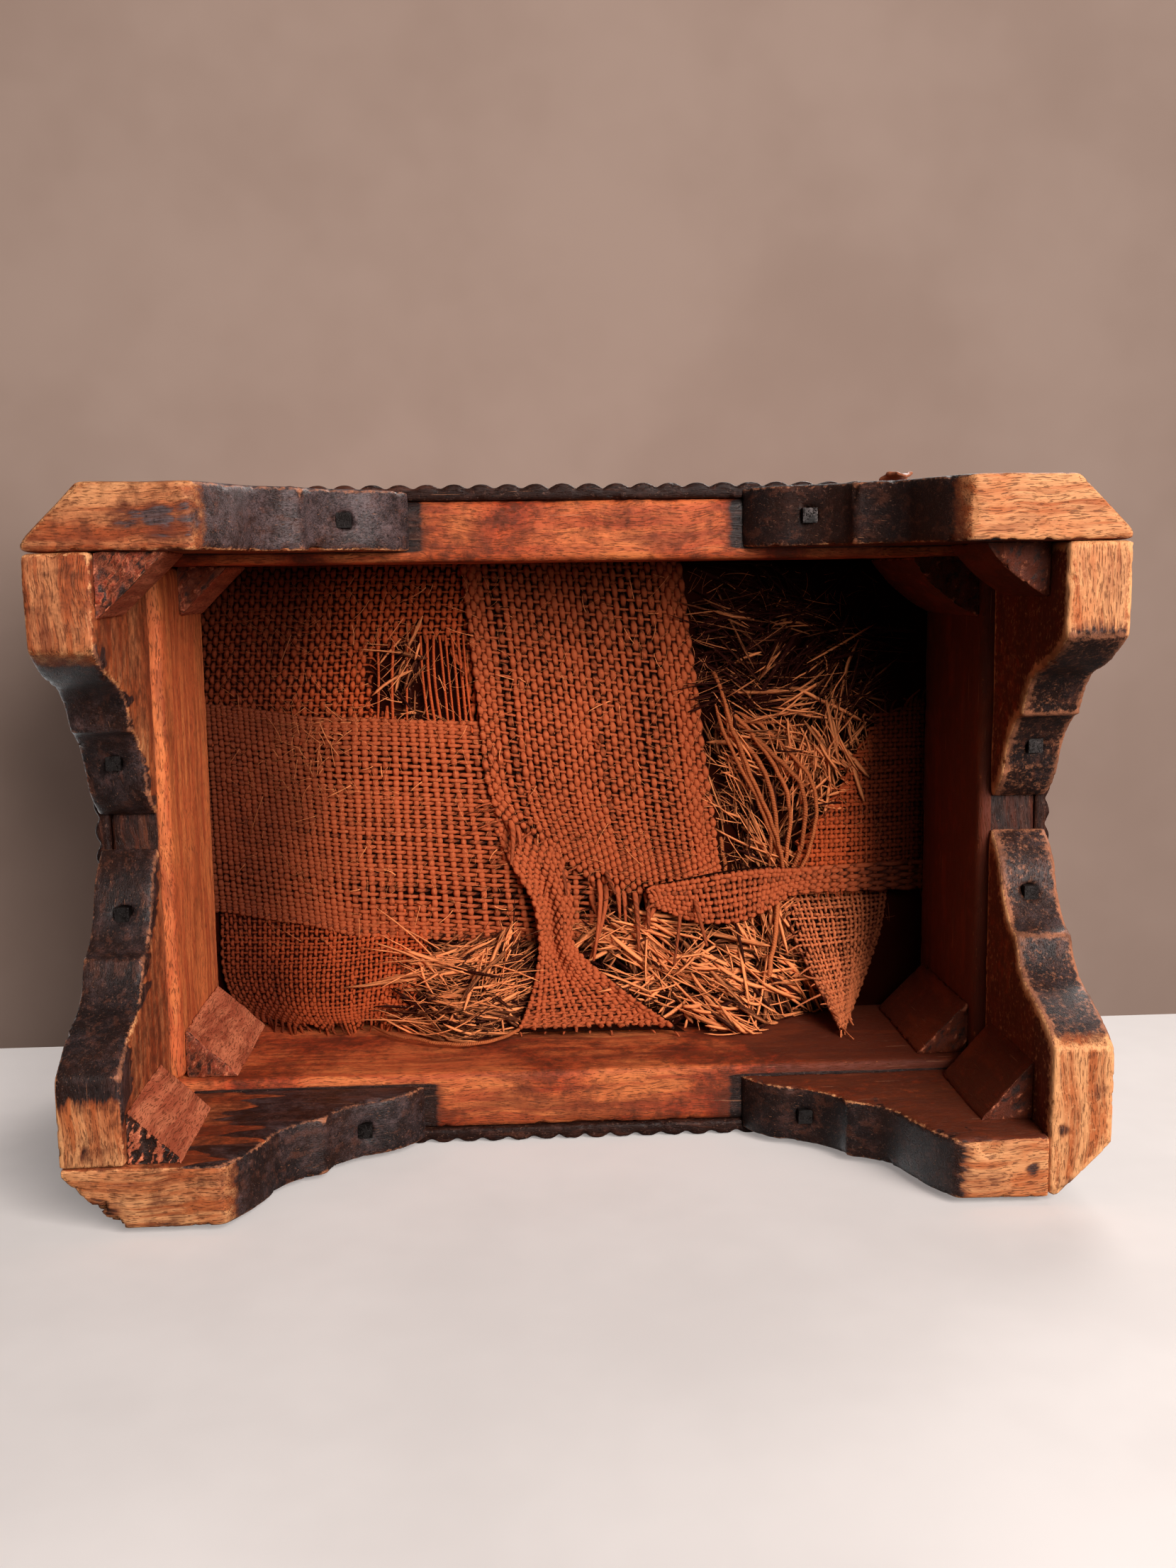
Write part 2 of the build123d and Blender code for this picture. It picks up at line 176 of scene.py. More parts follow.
def read_edges(obj: bpy.types.Object) -> np.ndarray:
    """The two vertices of each edge."""
    flat = np.empty(len(obj.data.edges) * 2, np.int32)
    obj.data.edges.foreach_get("vertices", flat)
    return flat.reshape(-1, 2)


def mark(obj: bpy.types.Object, name: str, values: np.ndarray | float) -> None:
    """Stores one number for each vertex under a name that the materials read."""
    count = len(obj.data.vertices)
    layer = obj.data.attributes.new(name, "FLOAT", "POINT")
    layer.data.foreach_set("value", np.broadcast_to(np.asarray(values, np.float32), (count,)).copy())


def relax(points: np.ndarray, edges: np.ndarray, rounds: int) -> np.ndarray:
    """Evens out a surface by moving each point towards its neighbours.

    Args:
        points: the vertices.
        edges: the pairs of neighbours.
        rounds: how often to move them.

    Returns:
        The moved vertices.
    """
    count = len(points)
    a, b = edges.T
    near = np.maximum(np.bincount(a, minlength=count) + np.bincount(b, minlength=count), 1)
    for _ in range(rounds):
        mean = np.stack([
            np.bincount(a, points[b, k], count) + np.bincount(b, points[a, k], count) for k in range(3)
        ], 1) / near[:, None]
        points = points + 0.5 * (mean - points)
    return points


def new_piece(name: str, points: np.ndarray, faces: Sequence[Sequence[int]]) -> bpy.types.Object:
    """A new object from places in millimetres and its faces."""
    mesh = bpy.data.meshes.new(name)
    mesh.from_pydata((points * MM).tolist(), [], faces)
    obj = bpy.data.objects.new(name, mesh)
    bpy.context.scene.collection.objects.link(obj)
    return obj


def edit_all(obj: bpy.types.Object, *steps: Callable[[], object]) -> None:
    """Runs steps on the whole mesh in edit mode."""
    only(obj)
    bpy.ops.object.mode_set(mode="EDIT")
    bpy.ops.mesh.select_all(action="SELECT")
    for step in steps:
        step()
    bpy.ops.object.mode_set(mode="OBJECT")


def join_doubles() -> None:
    """Joins the corners of loose triangles."""
    bpy.ops.mesh.remove_doubles(threshold=1e-5)


def evened_copy(node: str, name: str, cell: float, *steps: Callable[[], object]) -> bpy.types.Object:
    """Copies a CAD node, joins its loose triangles and divides it evenly.

    Args:
        node: the CAD node.
        name: the new piece's name.
        cell: size of the even faces in millimetres.
        steps: more steps in edit mode, before the dividing.

    Returns:
        The new piece.
    """
    obj = bpy.data.objects.new(name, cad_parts[node].data.copy())
    bpy.context.scene.collection.objects.link(obj)
    edit_all(obj, join_doubles, *steps)
    finish_modifier(obj, "REMESH", mode="VOXEL", voxel_size=cell * MM)
    return obj


def settle(obj: bpy.types.Object, slot: str, material: bpy.types.Material, *nodes: str) -> bpy.types.Object:
    """Gives a piece its body and material, and hides the nodes that it stands for.

    Args:
        obj: the piece.
        slot: not used.
        material: its material.
        nodes: the CAD nodes that it replaces.

    Returns:
        The same piece.
    """
    obj.data.materials.clear()
    obj.data.materials.append(material)
    obj.data.polygons.foreach_set("use_smooth", np.ones(len(obj.data.polygons), bool))
    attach(obj, BODY)
    if nodes:
        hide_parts(*nodes)
    log.info("%s: %d faces", obj.name, len(obj.data.polygons))
    return obj


# Shader helpers

def srgb(red: int, green: int, blue: int) -> tuple[float, float, float, float]:
    """A colour as a paint chart gives it, made linear."""
    linear = [c / 255 / 12.92 if c <= 10 else ((c / 255 + 0.055) / 1.055) ** 2.4 for c in (red, green, blue)]
    return (*linear, 1.0)


class Tree:
    """Short ways to add shader nodes to one tree."""

    def __init__(self, tree: bpy.types.NodeTree) -> None:
        """Works on this tree."""
        self.tree = tree

    def add(self, kind: str, values: Optional[dict] = None, **settings: object) -> bpy.types.Node:
        """Adds a node.

        Args:
            kind: the node's type after "ShaderNode".
            values: numbers or sockets for its inputs, by name or place.
            settings: its own settings.

        Returns:
            The new node.
        """
        node = self.tree.nodes.new("ShaderNode" + kind)
        for name, value in settings.items():
            setattr(node, name, value)
        self.fill(node, values or {})
        return node

    def fill(self, node: bpy.types.Node, values: dict) -> None:
        """Links sockets to a node's inputs and sets numbers on them."""
        for name, value in values.items():
            if isinstance(value, Socket):
                self.tree.links.new(value, node.inputs[name])
            else:
                node.inputs[name].default_value = value

    def calc(self, operation: str, a: object, b: object = 0.0, c: object = 0.0) -> Socket:
        """One step of arithmetic on numbers."""
        return self.add("Math", {0: a, 1: b, 2: c}, operation=operation).outputs[0]

    def stretch(self, vector: Socket, scale: Sequence[float], turn: Sequence[float] = (0, 0, 0)) -> Socket:
        """Coordinates scaled, and turned by angles in radians."""
        return self.add("Mapping", {"Vector": vector, "Scale": scale, "Rotation": turn}).outputs[0]

    def noise(self, vector: Socket, scale: float, detail: float = 3, rough: float = 0.55) -> Socket:
        """Cloudy noise from 0 to 1."""
        values = {"Vector": vector, "Scale": scale, "Detail": detail, "Roughness": rough, "Distortion": 0}
        return self.add("TexNoise", values).outputs[0]

    def step(self, value: Socket, low: float, high: float, start: float = 0, end: float = 1) -> Socket:
        """Smooth step of a value, between two limits, to start and end."""
        values = {0: value, 1: low, 2: high, 3: start, 4: end}
        return self.add("MapRange", values, interpolation_type="SMOOTHSTEP").outputs[0]

    def blend(self, share: object, a: object, b: object, mode: str = "MIX") -> Socket:
        """Colour b over colour a by a share."""
        return self.add("Mix", {0: share, 6: a, 7: b}, data_type="RGBA", blend_type=mode).outputs[2]

    def attribute(self, name: str) -> Socket:
        """A number stored on the piece's vertices."""
        return self.add("Attribute", attribute_name=name).outputs["Fac"]


@dataclass(frozen=True)
class Effect:
    """A shader node group that several materials share."""

    name: str
    inputs: tuple[tuple[str, str], ...]
    outputs: tuple[tuple[str, str], ...]
    wire: Callable[[Tree, dict[str, Socket]], dict[str, Socket]]

    def group(self) -> bpy.types.NodeTree:
        """Finds the group or builds it once."""
        if self.name in bpy.data.node_groups:
            return bpy.data.node_groups[self.name]
        group = bpy.data.node_groups.new(self.name, "ShaderNodeTree")
        for socket, kind in self.inputs:
            group.interface.new_socket(socket, in_out="INPUT", socket_type="NodeSocket" + kind)
        for socket, kind in self.outputs:
            group.interface.new_socket(socket, in_out="OUTPUT", socket_type="NodeSocket" + kind)
        start, end = group.nodes.new("NodeGroupInput"), group.nodes.new("NodeGroupOutput")
        made = self.wire(Tree(group), {socket: start.outputs[socket] for socket, _ in self.inputs})
        for socket, value in made.items():
            group.links.new(value, end.inputs[socket])
        return group

    def use(self, tree: Tree, values: dict[str, object]) -> dict[str, Socket]:
        """Places the group in a material.

        Args:
            tree: the material's tree.
            values: numbers or sockets for its inputs.

        Returns:
            Its outputs by name.
        """
        node = tree.tree.nodes.new("ShaderNodeGroup")
        node.node_tree = self.group()
        tree.fill(node, values)
        return {name: node.outputs[name] for name, _ in self.outputs}


SURFACE = (("Color", "Color"), ("Roughness", "Float"), ("Height", "Float"))


def wire_timber(t: Tree, i: dict[str, Socket]) -> dict[str, Socket]:
    """Old bare wood under a scorched black finish that breaks up along the grain."""
    mm = t.stretch(i["Grain"], TO_MM)
    drift = t.add("TexNoise", {"Vector": mm, "Scale": 0.035, "Detail": 2}).outputs["Color"]
    drift = t.add("VectorMath", {0: drift, 1: (7, 7, 7), 2: mm}, operation="MULTIPLY_ADD").outputs[0]
    bands = t.noise(t.stretch(drift, (0.014, 0.3, 0.3)), 1, 5, 0.62)
    fibre = t.noise(t.stretch(drift, (0.12, 2.3, 2.3)), 1, 3, 0.6)
    flecks = t.step(t.noise(t.stretch(drift, (0.3, 2.5, 2.5)), 1, 2, 0.5), 0.54, 0.66)
    blotch = t.noise(mm, 0.05, 4, 0.6)
    grime = t.noise(mm, 0.22, 6, 0.72)
    bare = t.blend(t.step(bands, 0.38, 0.6), i["Deep"], i["Pale"])
    bare = t.blend(0.8, bare, t.blend(fibre, srgb(140, 124, 114), srgb(255, 255, 255)), "MULTIPLY")
    bare = t.blend(t.step(blotch, 0.34, 0.58, 0.55, 0), bare, i["Deep"])
    # The bare wood darkens and reddens with grime and with painted shade, which also strengthen its stains.
    bare = t.blend(t.step(i["Soil"], 0.4, 0.85), bare, t.blend(1.0, bare, srgb(226, 146, 112), "MULTIPLY"))
    soil = t.calc("MULTIPLY_ADD", i["Soil"], 0.44, t.calc("MULTIPLY", grime, 0.6))
    bare = t.blend(t.step(soil, 0.46, 0.7, 0, 0.9), bare, srgb(76, 34, 18))
    bare = t.blend(t.calc("MULTIPLY", flecks, 0.7), bare, srgb(92, 44, 22))
    stain = t.step(t.noise(t.stretch(drift, (0.03, 0.11, 0.11)), 1, 5, 0.68), 0.5, 0.64)
    stain = t.calc("MULTIPLY", stain, t.calc("MULTIPLY_ADD", i["Soil"], 0.7, 0.25))
    bare = t.blend(stain, bare, srgb(112, 46, 22))
    ragged = t.noise(t.stretch(drift, (0.05, 0.42, 0.42)), 1, 5, 0.66)
    reach = t.calc("MULTIPLY", i["Ragged"], t.step(i["Ebony"], 0.0, 0.15))
    cover = t.calc("MULTIPLY_ADD", t.calc("SUBTRACT", ragged, 0.5), reach, i["Ebony"])
    smoke = t.calc("MULTIPLY_ADD", t.calc("SUBTRACT", grime, 0.5), 0.35, cover)
    bare = t.blend(t.step(smoke, 0.04, 0.46, 0, 0.82), bare, srgb(96, 42, 24))
    cover = t.step(cover, 0.34, 0.52)
    sooty = t.blend(t.step(blotch, 0.38, 0.62), i["Black"], srgb(40, 20, 14))
    sooty = t.blend(t.step(grime, 0.5, 0.7, 0, 0.5), sooty, srgb(78, 44, 36))
    sooty = t.blend(t.step(bands, 0.52, 0.64, 0, 0.45), sooty, srgb(96, 54, 40))
    # A pale grey film on the black finish: partly a dusty film, partly a painted sheen.
    film = t.calc("MULTIPLY_ADD", t.noise(mm, 0.06, 5, 0.7), 1.9, t.calc("MULTIPLY_ADD", grime, 1.6, -1.75))
    film = t.calc("MULTIPLY", t.calc("ADD", film, i["Dust"]), t.step(fibre, 0.3, 0.7, 0.45, 1.0))
    film = t.calc("MULTIPLY", t.step(film, 0.1, 0.95), t.step(i["Dust"], 0.0, 0.8))
    sooty = t.blend(t.calc("MULTIPLY", film, 0.85), sooty, srgb(108, 89, 90))
    speck = t.step(t.noise(mm, 1.1, 4, 0.7), 0.58, 0.68, 0, 0.5)
    sooty = t.blend(speck, sooty, srgb(126, 86, 70))
    sooty = t.blend(t.step(t.noise(mm, 0.9, 4, 0.7), 0.44, 0.34, 0, 0.8), sooty, srgb(14, 9, 8))
    colour = t.blend(t.calc("MULTIPLY", cover, 0.985), bare, sooty)
    patch = t.step(t.noise(mm, 0.09, 3, 0.6), 0.36, 0.62, 0.4, 1.0)
    rub = t.calc("MULTIPLY_ADD", t.calc("SUBTRACT", t.noise(mm, 0.55, 4, 0.7), 0.5), 1.3, i["Wear"])
    rub = t.calc("MULTIPLY", t.step(rub, 0.5, 0.85), patch)
    colour = t.blend(t.calc("MULTIPLY", rub, 0.8), colour, t.blend(cover, i["Pale"], srgb(190, 120, 86)))
    scratch = t.noise(t.stretch(mm, (0.05, 1.9, 0.9), (0.3, 0.5, 0.9)), 1, 1, 0.4)
    scratch = t.step(scratch, 0.735, 0.76)
    colour = t.blend(t.calc("MULTIPLY", scratch, 0.32), colour, srgb(196, 130, 96))
    rough = t.calc("MULTIPLY_ADD", cover, -0.16, t.calc("MULTIPLY_ADD", grime, 0.22, 0.54))
    height = t.calc("MULTIPLY_ADD", fibre, 0.55, t.calc("MULTIPLY", bands, 0.5))
    height = t.calc("MULTIPLY_ADD", flecks, -0.5, height)
    height = t.calc("MULTIPLY_ADD", scratch, -0.5, height)
    return {"Color": colour, "Roughness": rough, "Height": t.calc("MULTIPLY_ADD", grime, 0.6, height)}


def wire_yarn(t: Tree, i: dict[str, Socket]) -> dict[str, Socket]:
    """Twisted plant fibre: slanting hairs round each yarn, lighter on some yarns than on others."""
    parts = t.add("SeparateXYZ", {0: i["Lay"]}).outputs
    slant = t.calc("MULTIPLY_ADD", parts[0], i["Twist"], parts[1])
    along = t.calc("MULTIPLY", parts[0], 0.7)
    lines = t.add("CombineXYZ", {0: along, 1: t.calc("MULTIPLY", slant, 9.0)}).outputs[0]
    hairs = t.noise(lines, 1, 3, 0.65)
    ply = t.calc("SINE", t.calc("MULTIPLY", slant, 4 * math.pi))
    mm = t.stretch(i["Place"], TO_MM)
    patch = t.noise(mm, 0.09, 4, 0.6)
    light = t.calc("MULTIPLY_ADD", i["Tone"], 0.62, t.calc("MULTIPLY_ADD", hairs, 0.7, -0.24))
    light = t.calc("MULTIPLY_ADD", ply, 0.07, t.calc("MULTIPLY_ADD", patch, 0.35, light))
    colour = t.blend(t.step(light, 0.12, 0.86), i["Dark"], i["Light"])
    fleck = t.step(t.noise(mm, 1.3, 2, 0.5), 0.66, 0.74, 0, 0.5)
    colour = t.blend(fleck, colour, i["Fleck"])
    # The yarn darkens with grime and with painted shade.
    colour = t.blend(t.calc("MULTIPLY", i["Soil"], 0.82), colour, t.blend(0.5, i["Dark"], srgb(52, 9, 2)))
    height = t.calc("MULTIPLY_ADD", ply, 0.35, hairs)
    return {"Color": colour, "Roughness": t.calc("MULTIPLY_ADD", hairs, -0.2, 0.85), "Height": height}


def wire_hide(t: Tree, i: dict[str, Socket]) -> dict[str, Socket]:
    """Old leather: pebbled grain, fine cracks, rubbed crests and a darker edge."""
    mm = t.stretch(i["Place"], TO_MM)
    pebbles = {"Vector": mm, "Scale": 0.75, "Randomness": 1.0}
    cells = t.add("TexVoronoi", pebbles, feature="F1").outputs["Distance"]
    plates = {"Vector": t.stretch(mm, (1, 1, 1.4)), "Scale": 0.16}
    crack = t.add("TexVoronoi", plates, feature="DISTANCE_TO_EDGE")
    wander = t.noise(mm, 0.4, 4, 0.6)
    crack = t.step(t.calc("MULTIPLY_ADD", wander, 0.12, crack.outputs["Distance"]), 0.04, 0.085, 1, 0)
    cloud = t.noise(mm, 0.018, 5, 0.6)
    scuff = t.step(t.noise(t.stretch(mm, (0.5, 1, 1)), 0.12, 6, 0.75), 0.54, 0.72)
    colour = t.blend(t.step(cloud, 0.35, 0.65), i["Deep"], i["Pale"])
    colour = t.blend(t.calc("MULTIPLY", crack, 0.65), colour, srgb(38, 20, 15))
    worn = t.calc("MAXIMUM", t.calc("MULTIPLY", scuff, 0.4), t.step(i["Wear"], 0.3, 0.9, 0, 0.6))
    colour = t.blend(worn, colour, i["Rubbed"])
    colour = t.blend(t.step(i["Soil"], 0.2, 1.0, 0, 0.75), colour, srgb(34, 20, 16))
    rough = t.calc("MULTIPLY_ADD", scuff, 0.25, t.calc("MULTIPLY_ADD", cloud, 0.15, 0.34))
    height = t.calc("MULTIPLY_ADD", crack, -1.4, t.calc("MULTIPLY_ADD", cells, -0.7, wander))
    return {"Color": colour, "Roughness": rough, "Height": height}


def wire_tarnish(t: Tree, i: dict[str, Socket]) -> dict[str, Socket]:
    """Dull old metal with spots of corrosion."""
    mm = t.stretch(i["Place"], TO_MM)
    cloud = t.noise(mm, 0.35, 5, 0.65)
    spots = t.step(t.noise(mm, 1.6, 4, 0.7), 0.5, 0.66)
    share = t.calc("MINIMUM", t.calc("MULTIPLY_ADD", spots, 0.4, t.step(cloud, 0.42, 0.68)), 1.0)
    colour = t.blend(share, i["Bright"], i["Dull"])
    return {
        "Color": colour,
        "Roughness": t.calc("MULTIPLY_ADD", share, 0.34, 0.3),
        "Height": t.calc("MULTIPLY_ADD", spots, 0.6, cloud),
        "Metal": t.calc("MULTIPLY_ADD", share, -0.55, 1.0),
    }


TIMBER = Effect(
    "old_timber",
    (("Grain", "Vector"), ("Ebony", "Float"), ("Ragged", "Float"), ("Wear", "Float"), ("Soil", "Float"),
     ("Dust", "Float"), ("Pale", "Color"), ("Deep", "Color"), ("Black", "Color")),
    SURFACE, wire_timber,
)
YARN = Effect(
    "twisted_fibre",
    (("Lay", "Vector"), ("Place", "Vector"), ("Tone", "Float"), ("Soil", "Float"), ("Twist", "Float"),
     ("Light", "Color"), ("Dark", "Color"), ("Fleck", "Color")),
    SURFACE, wire_yarn,
)
HIDE = Effect(
    "old_hide",
    (("Place", "Vector"), ("Wear", "Float"), ("Soil", "Float"),
     ("Pale", "Color"), ("Deep", "Color"), ("Rubbed", "Color")),
    SURFACE, wire_hide,
)
TARNISH = Effect(
    "tarnish", (("Place", "Vector"), ("Bright", "Color"), ("Dull", "Color")),
    SURFACE + (("Metal", "Float"),), wire_tarnish,
)


class Grain(Enum):
    """Which way a board's grain runs."""

    X = (0, 1, 2)
    Y = (1, 0, 2)
    Z = (2, 0, 1)


def new_material(name: str) -> tuple[bpy.types.Material, Tree, bpy.types.Node]:
    """An empty material with its tree and its Principled shader."""
    material = bpy.data.materials.new(name)
    material.use_nodes = True
    material.node_tree.nodes.clear()
    tree = Tree(material.node_tree)
    shader = tree.add("BsdfPrincipled")
    tree.add("OutputMaterial", {0: shader.outputs[0]})
    return material, tree, shader


def dress(tree: Tree, shader: bpy.types.Node, made: dict[str, Socket], relief: float) -> None:
    """Joins an effect's colour, roughness and height to the shader.

    Args:
        tree: the material's tree.
        shader: its Principled shader.
        made: the effect's outputs.
        relief: height of the relief in millimetres.
    """
    bump = tree.add("Bump", {"Height": made["Height"], "Strength": 1.0, "Distance": relief * MM})
    tree.fill(shader, {
        "Base Color": made["Color"], "Roughness": made["Roughness"], "Normal": bump.outputs[0],
    })


@dataclass(frozen=True)
class TimberFinish:
    """Bare wood with a black finish where the ebony mark is high."""

    name: str
    pale: tuple[int, int, int] = (250, 176, 118)
    deep: tuple[int, int, int] = (200, 108, 58)
    black: tuple[int, int, int] = (27, 19, 19)
    relief: float = 0.24
    specular: float = 0.25

    def material(self, grain: Grain) -> bpy.types.Material:
        """The finish with its grain along one axis, made once."""
        name = f"{self.name}_{grain.name.lower()}"
        if name in bpy.data.materials:
            return bpy.data.materials[name]
        material, t, shader = new_material(name)
        place = t.add("TexCoord").outputs["Object"]
        parts = t.add("SeparateXYZ", {0: place}).outputs
        along = t.add("CombineXYZ", {n: parts[axis] for n, axis in enumerate(grain.value)}).outputs[0]
        apart = {0: (0.31, 0.17, 0.23), 3: t.attribute("board")}
        shift = t.add("VectorMath", apart, operation="SCALE").outputs[0]
        along = t.add("VectorMath", {0: along, 1: shift}, operation="ADD").outputs[0]
        made = TIMBER.use(t, {
            "Grain": along, "Ebony": t.attribute("ebony"), "Ragged": t.attribute("ragged"),
            "Wear": t.attribute("wear"), "Soil": t.attribute("soil"), "Dust": t.attribute("dust"),
            "Pale": srgb(*self.pale), "Deep": srgb(*self.deep), "Black": srgb(*self.black),
        })
        dress(t, shader, made, self.relief)
        shader.inputs["Specular IOR Level"].default_value = self.specular
        return material


@dataclass(frozen=True)
class FibreFinish:
    """Yarn, cloth or straw."""

    name: str
    light: tuple[int, int, int]
    dark: tuple[int, int, int]
    fleck: tuple[int, int, int]
    twist: float = 0.5
    relief: float = 0.12
    specular: float = 0.12

    def material(self) -> bpy.types.Material:
        """The finish as a material."""
        material, t, shader = new_material(self.name)
        coordinates = t.add("TexCoord").outputs
        made = YARN.use(t, {
            "Lay": coordinates["UV"], "Place": coordinates["Object"],
            "Tone": t.attribute("tone"), "Soil": t.attribute("soil"), "Twist": self.twist,
            "Light": srgb(*self.light), "Dark": srgb(*self.dark), "Fleck": srgb(*self.fleck),
        })
        dress(t, shader, made, self.relief)
        shader.inputs["Specular IOR Level"].default_value = self.specular
        return material


@dataclass(frozen=True)
class HideFinish:
    """Worn upholstery leather."""

    name: str = "seat_leather"
    pale: tuple[int, int, int] = (138, 66, 42)
    deep: tuple[int, int, int] = (92, 42, 28)
    rubbed: tuple[int, int, int] = (182, 110, 76)
    relief: float = 0.28

    def material(self) -> bpy.types.Material:
        """The finish as a material."""
        material, t, shader = new_material(self.name)
        made = HIDE.use(t, {
            "Place": t.add("TexCoord").outputs["Object"],
            "Wear": t.attribute("wear"), "Soil": t.attribute("soil"),
            "Pale": srgb(*self.pale), "Deep": srgb(*self.deep), "Rubbed": srgb(*self.rubbed),
        })
        dress(t, shader, made, self.relief)
        return material


@dataclass(frozen=True)
class MetalFinish:
    """Old iron or brass."""

    name: str
    bright: tuple[int, int, int]
    dull: tuple[int, int, int]
    relief: float = 0.15

    def material(self) -> bpy.types.Material:
        """The finish as a material."""
        material, t, shader = new_material(self.name)
        made = TARNISH.use(t, {
            "Place": t.add("TexCoord").outputs["Object"],
            "Bright": srgb(*self.bright), "Dull": srgb(*self.dull),
        })
        dress(t, shader, made, self.relief)
        t.tree.links.new(made["Metal"], shader.inputs["Metallic"])
        return material


# Wood

Shade = Callable[[np.ndarray, np.ndarray], np.ndarray]
FACING = 0.55
DOWNWARD = -0.8
SOLE_TOP = 3.0


def even(value: float) -> Shade:
    """The same value all over a piece."""
    return lambda points, normals: np.full(len(points), value)


def on_sole(points: np.ndarray, normals: np.ndarray) -> np.ndarray:
    """Which places lie on the sole of a foot."""
    return (normals[:, 2] < DOWNWARD) & (points[:, 2] < SOLE_TOP)


@dataclass(frozen=True)
class Bruise:
    """A place where the wood is broken away: its middle, reach and depth in millimetres."""

    middle: tuple[float, float, float]
    reach: float
    depth: float
    grit: float = 0.6


@dataclass
class WornTimber:
    """One piece of wood, copied from its CAD node, with its arrises rubbed, chipped and dented."""

    node: str
    finish: TimberFinish
    slot: str
    grain: Grain
    board: int
    smudges: tuple[tuple[tuple[float, float, float], float, float], ...] = ()
    cell: float = 0.95
    soft_rounds: int = 2
    worn_rounds: int = 12
    chip: float = 0.9
    ripple: float = 0.22
    dust: float = 0.4
    rubbed: float = 1.0
    rubbed_all: float = 0.0
    bruises: tuple[Bruise, ...] = ()
    nails: tuple[tuple[float, float], ...] = ()
    ebony: Shade = even(0.0)
    ragged: Shade = even(0.5)
    soil: Shade = even(0.35)

    def rough_out(self) -> bpy.types.Object:
        """Copies the node, joins its loose triangles and divides it evenly."""
        return evened_copy(self.node, f"worn_{self.node}", self.cell)

    def age(self, obj: bpy.types.Object) -> None:
        """Rubs the arrises down unevenly, chips them, and dents the faces."""
        start = read_points(obj)
        edges = read_edges(obj)
        soft = relax(start, edges, self.soft_rounds)
        worn = relax(soft, edges, self.worn_rounds)
        normals = read_normals(obj)
        arris = np.clip(-((worn - start) * normals).sum(1) / (0.9 * self.cell), 0, 1)
        rub = span(lattice_noise(start / 19, self.board, 3), 0.3, 0.75)[:, None]
        points = soft + (worn - soft) * (0.1 + 0.7 * rub)
        nick = span(lattice_noise(start / 2.6, self.board + 5, 3), 0.56, 0.8) * span(arris, 0.1, 0.5)
        points = points - normals * (nick * self.chip)[:, None]
        waves = (lattice_noise(start / 15, self.board + 9, 2) - 0.5) * 2 * self.ripple
        points = points + normals * waves[:, None]
        for bruise in self.bruises:
            gap = np.linalg.norm(start - bruise.middle, axis=1)
            gap = gap + (lattice_noise(start / 3.1, self.board + 2, 3) - 0.5) * bruise.reach * bruise.grit * 2
            share = span(gap, bruise.reach, bruise.reach * 0.35)
            inward = unit(np.array([self.centre(start)]) - start)
            points = points + inward * (share * bruise.depth)[:, None]
        write_points(obj, points)
        worn_edge = np.clip(relax(arris[:, None] * np.ones(3), edges, 2)[:, 0] * 1.3, 0, 1)
        black = self.ebony(start, normals)
        for nail in self.nails:
            round_nail = span(np.linalg.norm(start[:, :2] - nail, axis=1), 6.0, 4.2)
            worn_edge = worn_edge * (1 - round_nail)
            black = np.maximum(black, round_nail)
        mark(obj, "wear", np.clip(worn_edge * self.rubbed + self.rubbed_all, 0, 1))
        mark(obj, "board", float(self.board))
        mark(obj, "dust", self.dust)
        for middle, reach, strength in self.smudges:
            gap = np.linalg.norm(start - middle, axis=1)
            black = np.maximum(black, strength * span(gap, reach, reach * 0.3))
        mark(obj, "ebony", np.clip(black, 0, 1))
        mark(obj, "ragged", self.ragged(start, normals))
        mark(obj, "soil", np.clip(self.soil(start, normals), 0, 1))

    @staticmethod
    def centre(points: np.ndarray) -> np.ndarray:
        """Middle of the box round the points."""
        return (points.min(0) + points.max(0)) / 2

    def build(self) -> bpy.types.Object:
        """Makes the piece and puts it in place of its node."""
        obj = self.rough_out()
        self.age(obj)
        return settle(obj, self.slot, self.finish.material(self.grain), self.node)


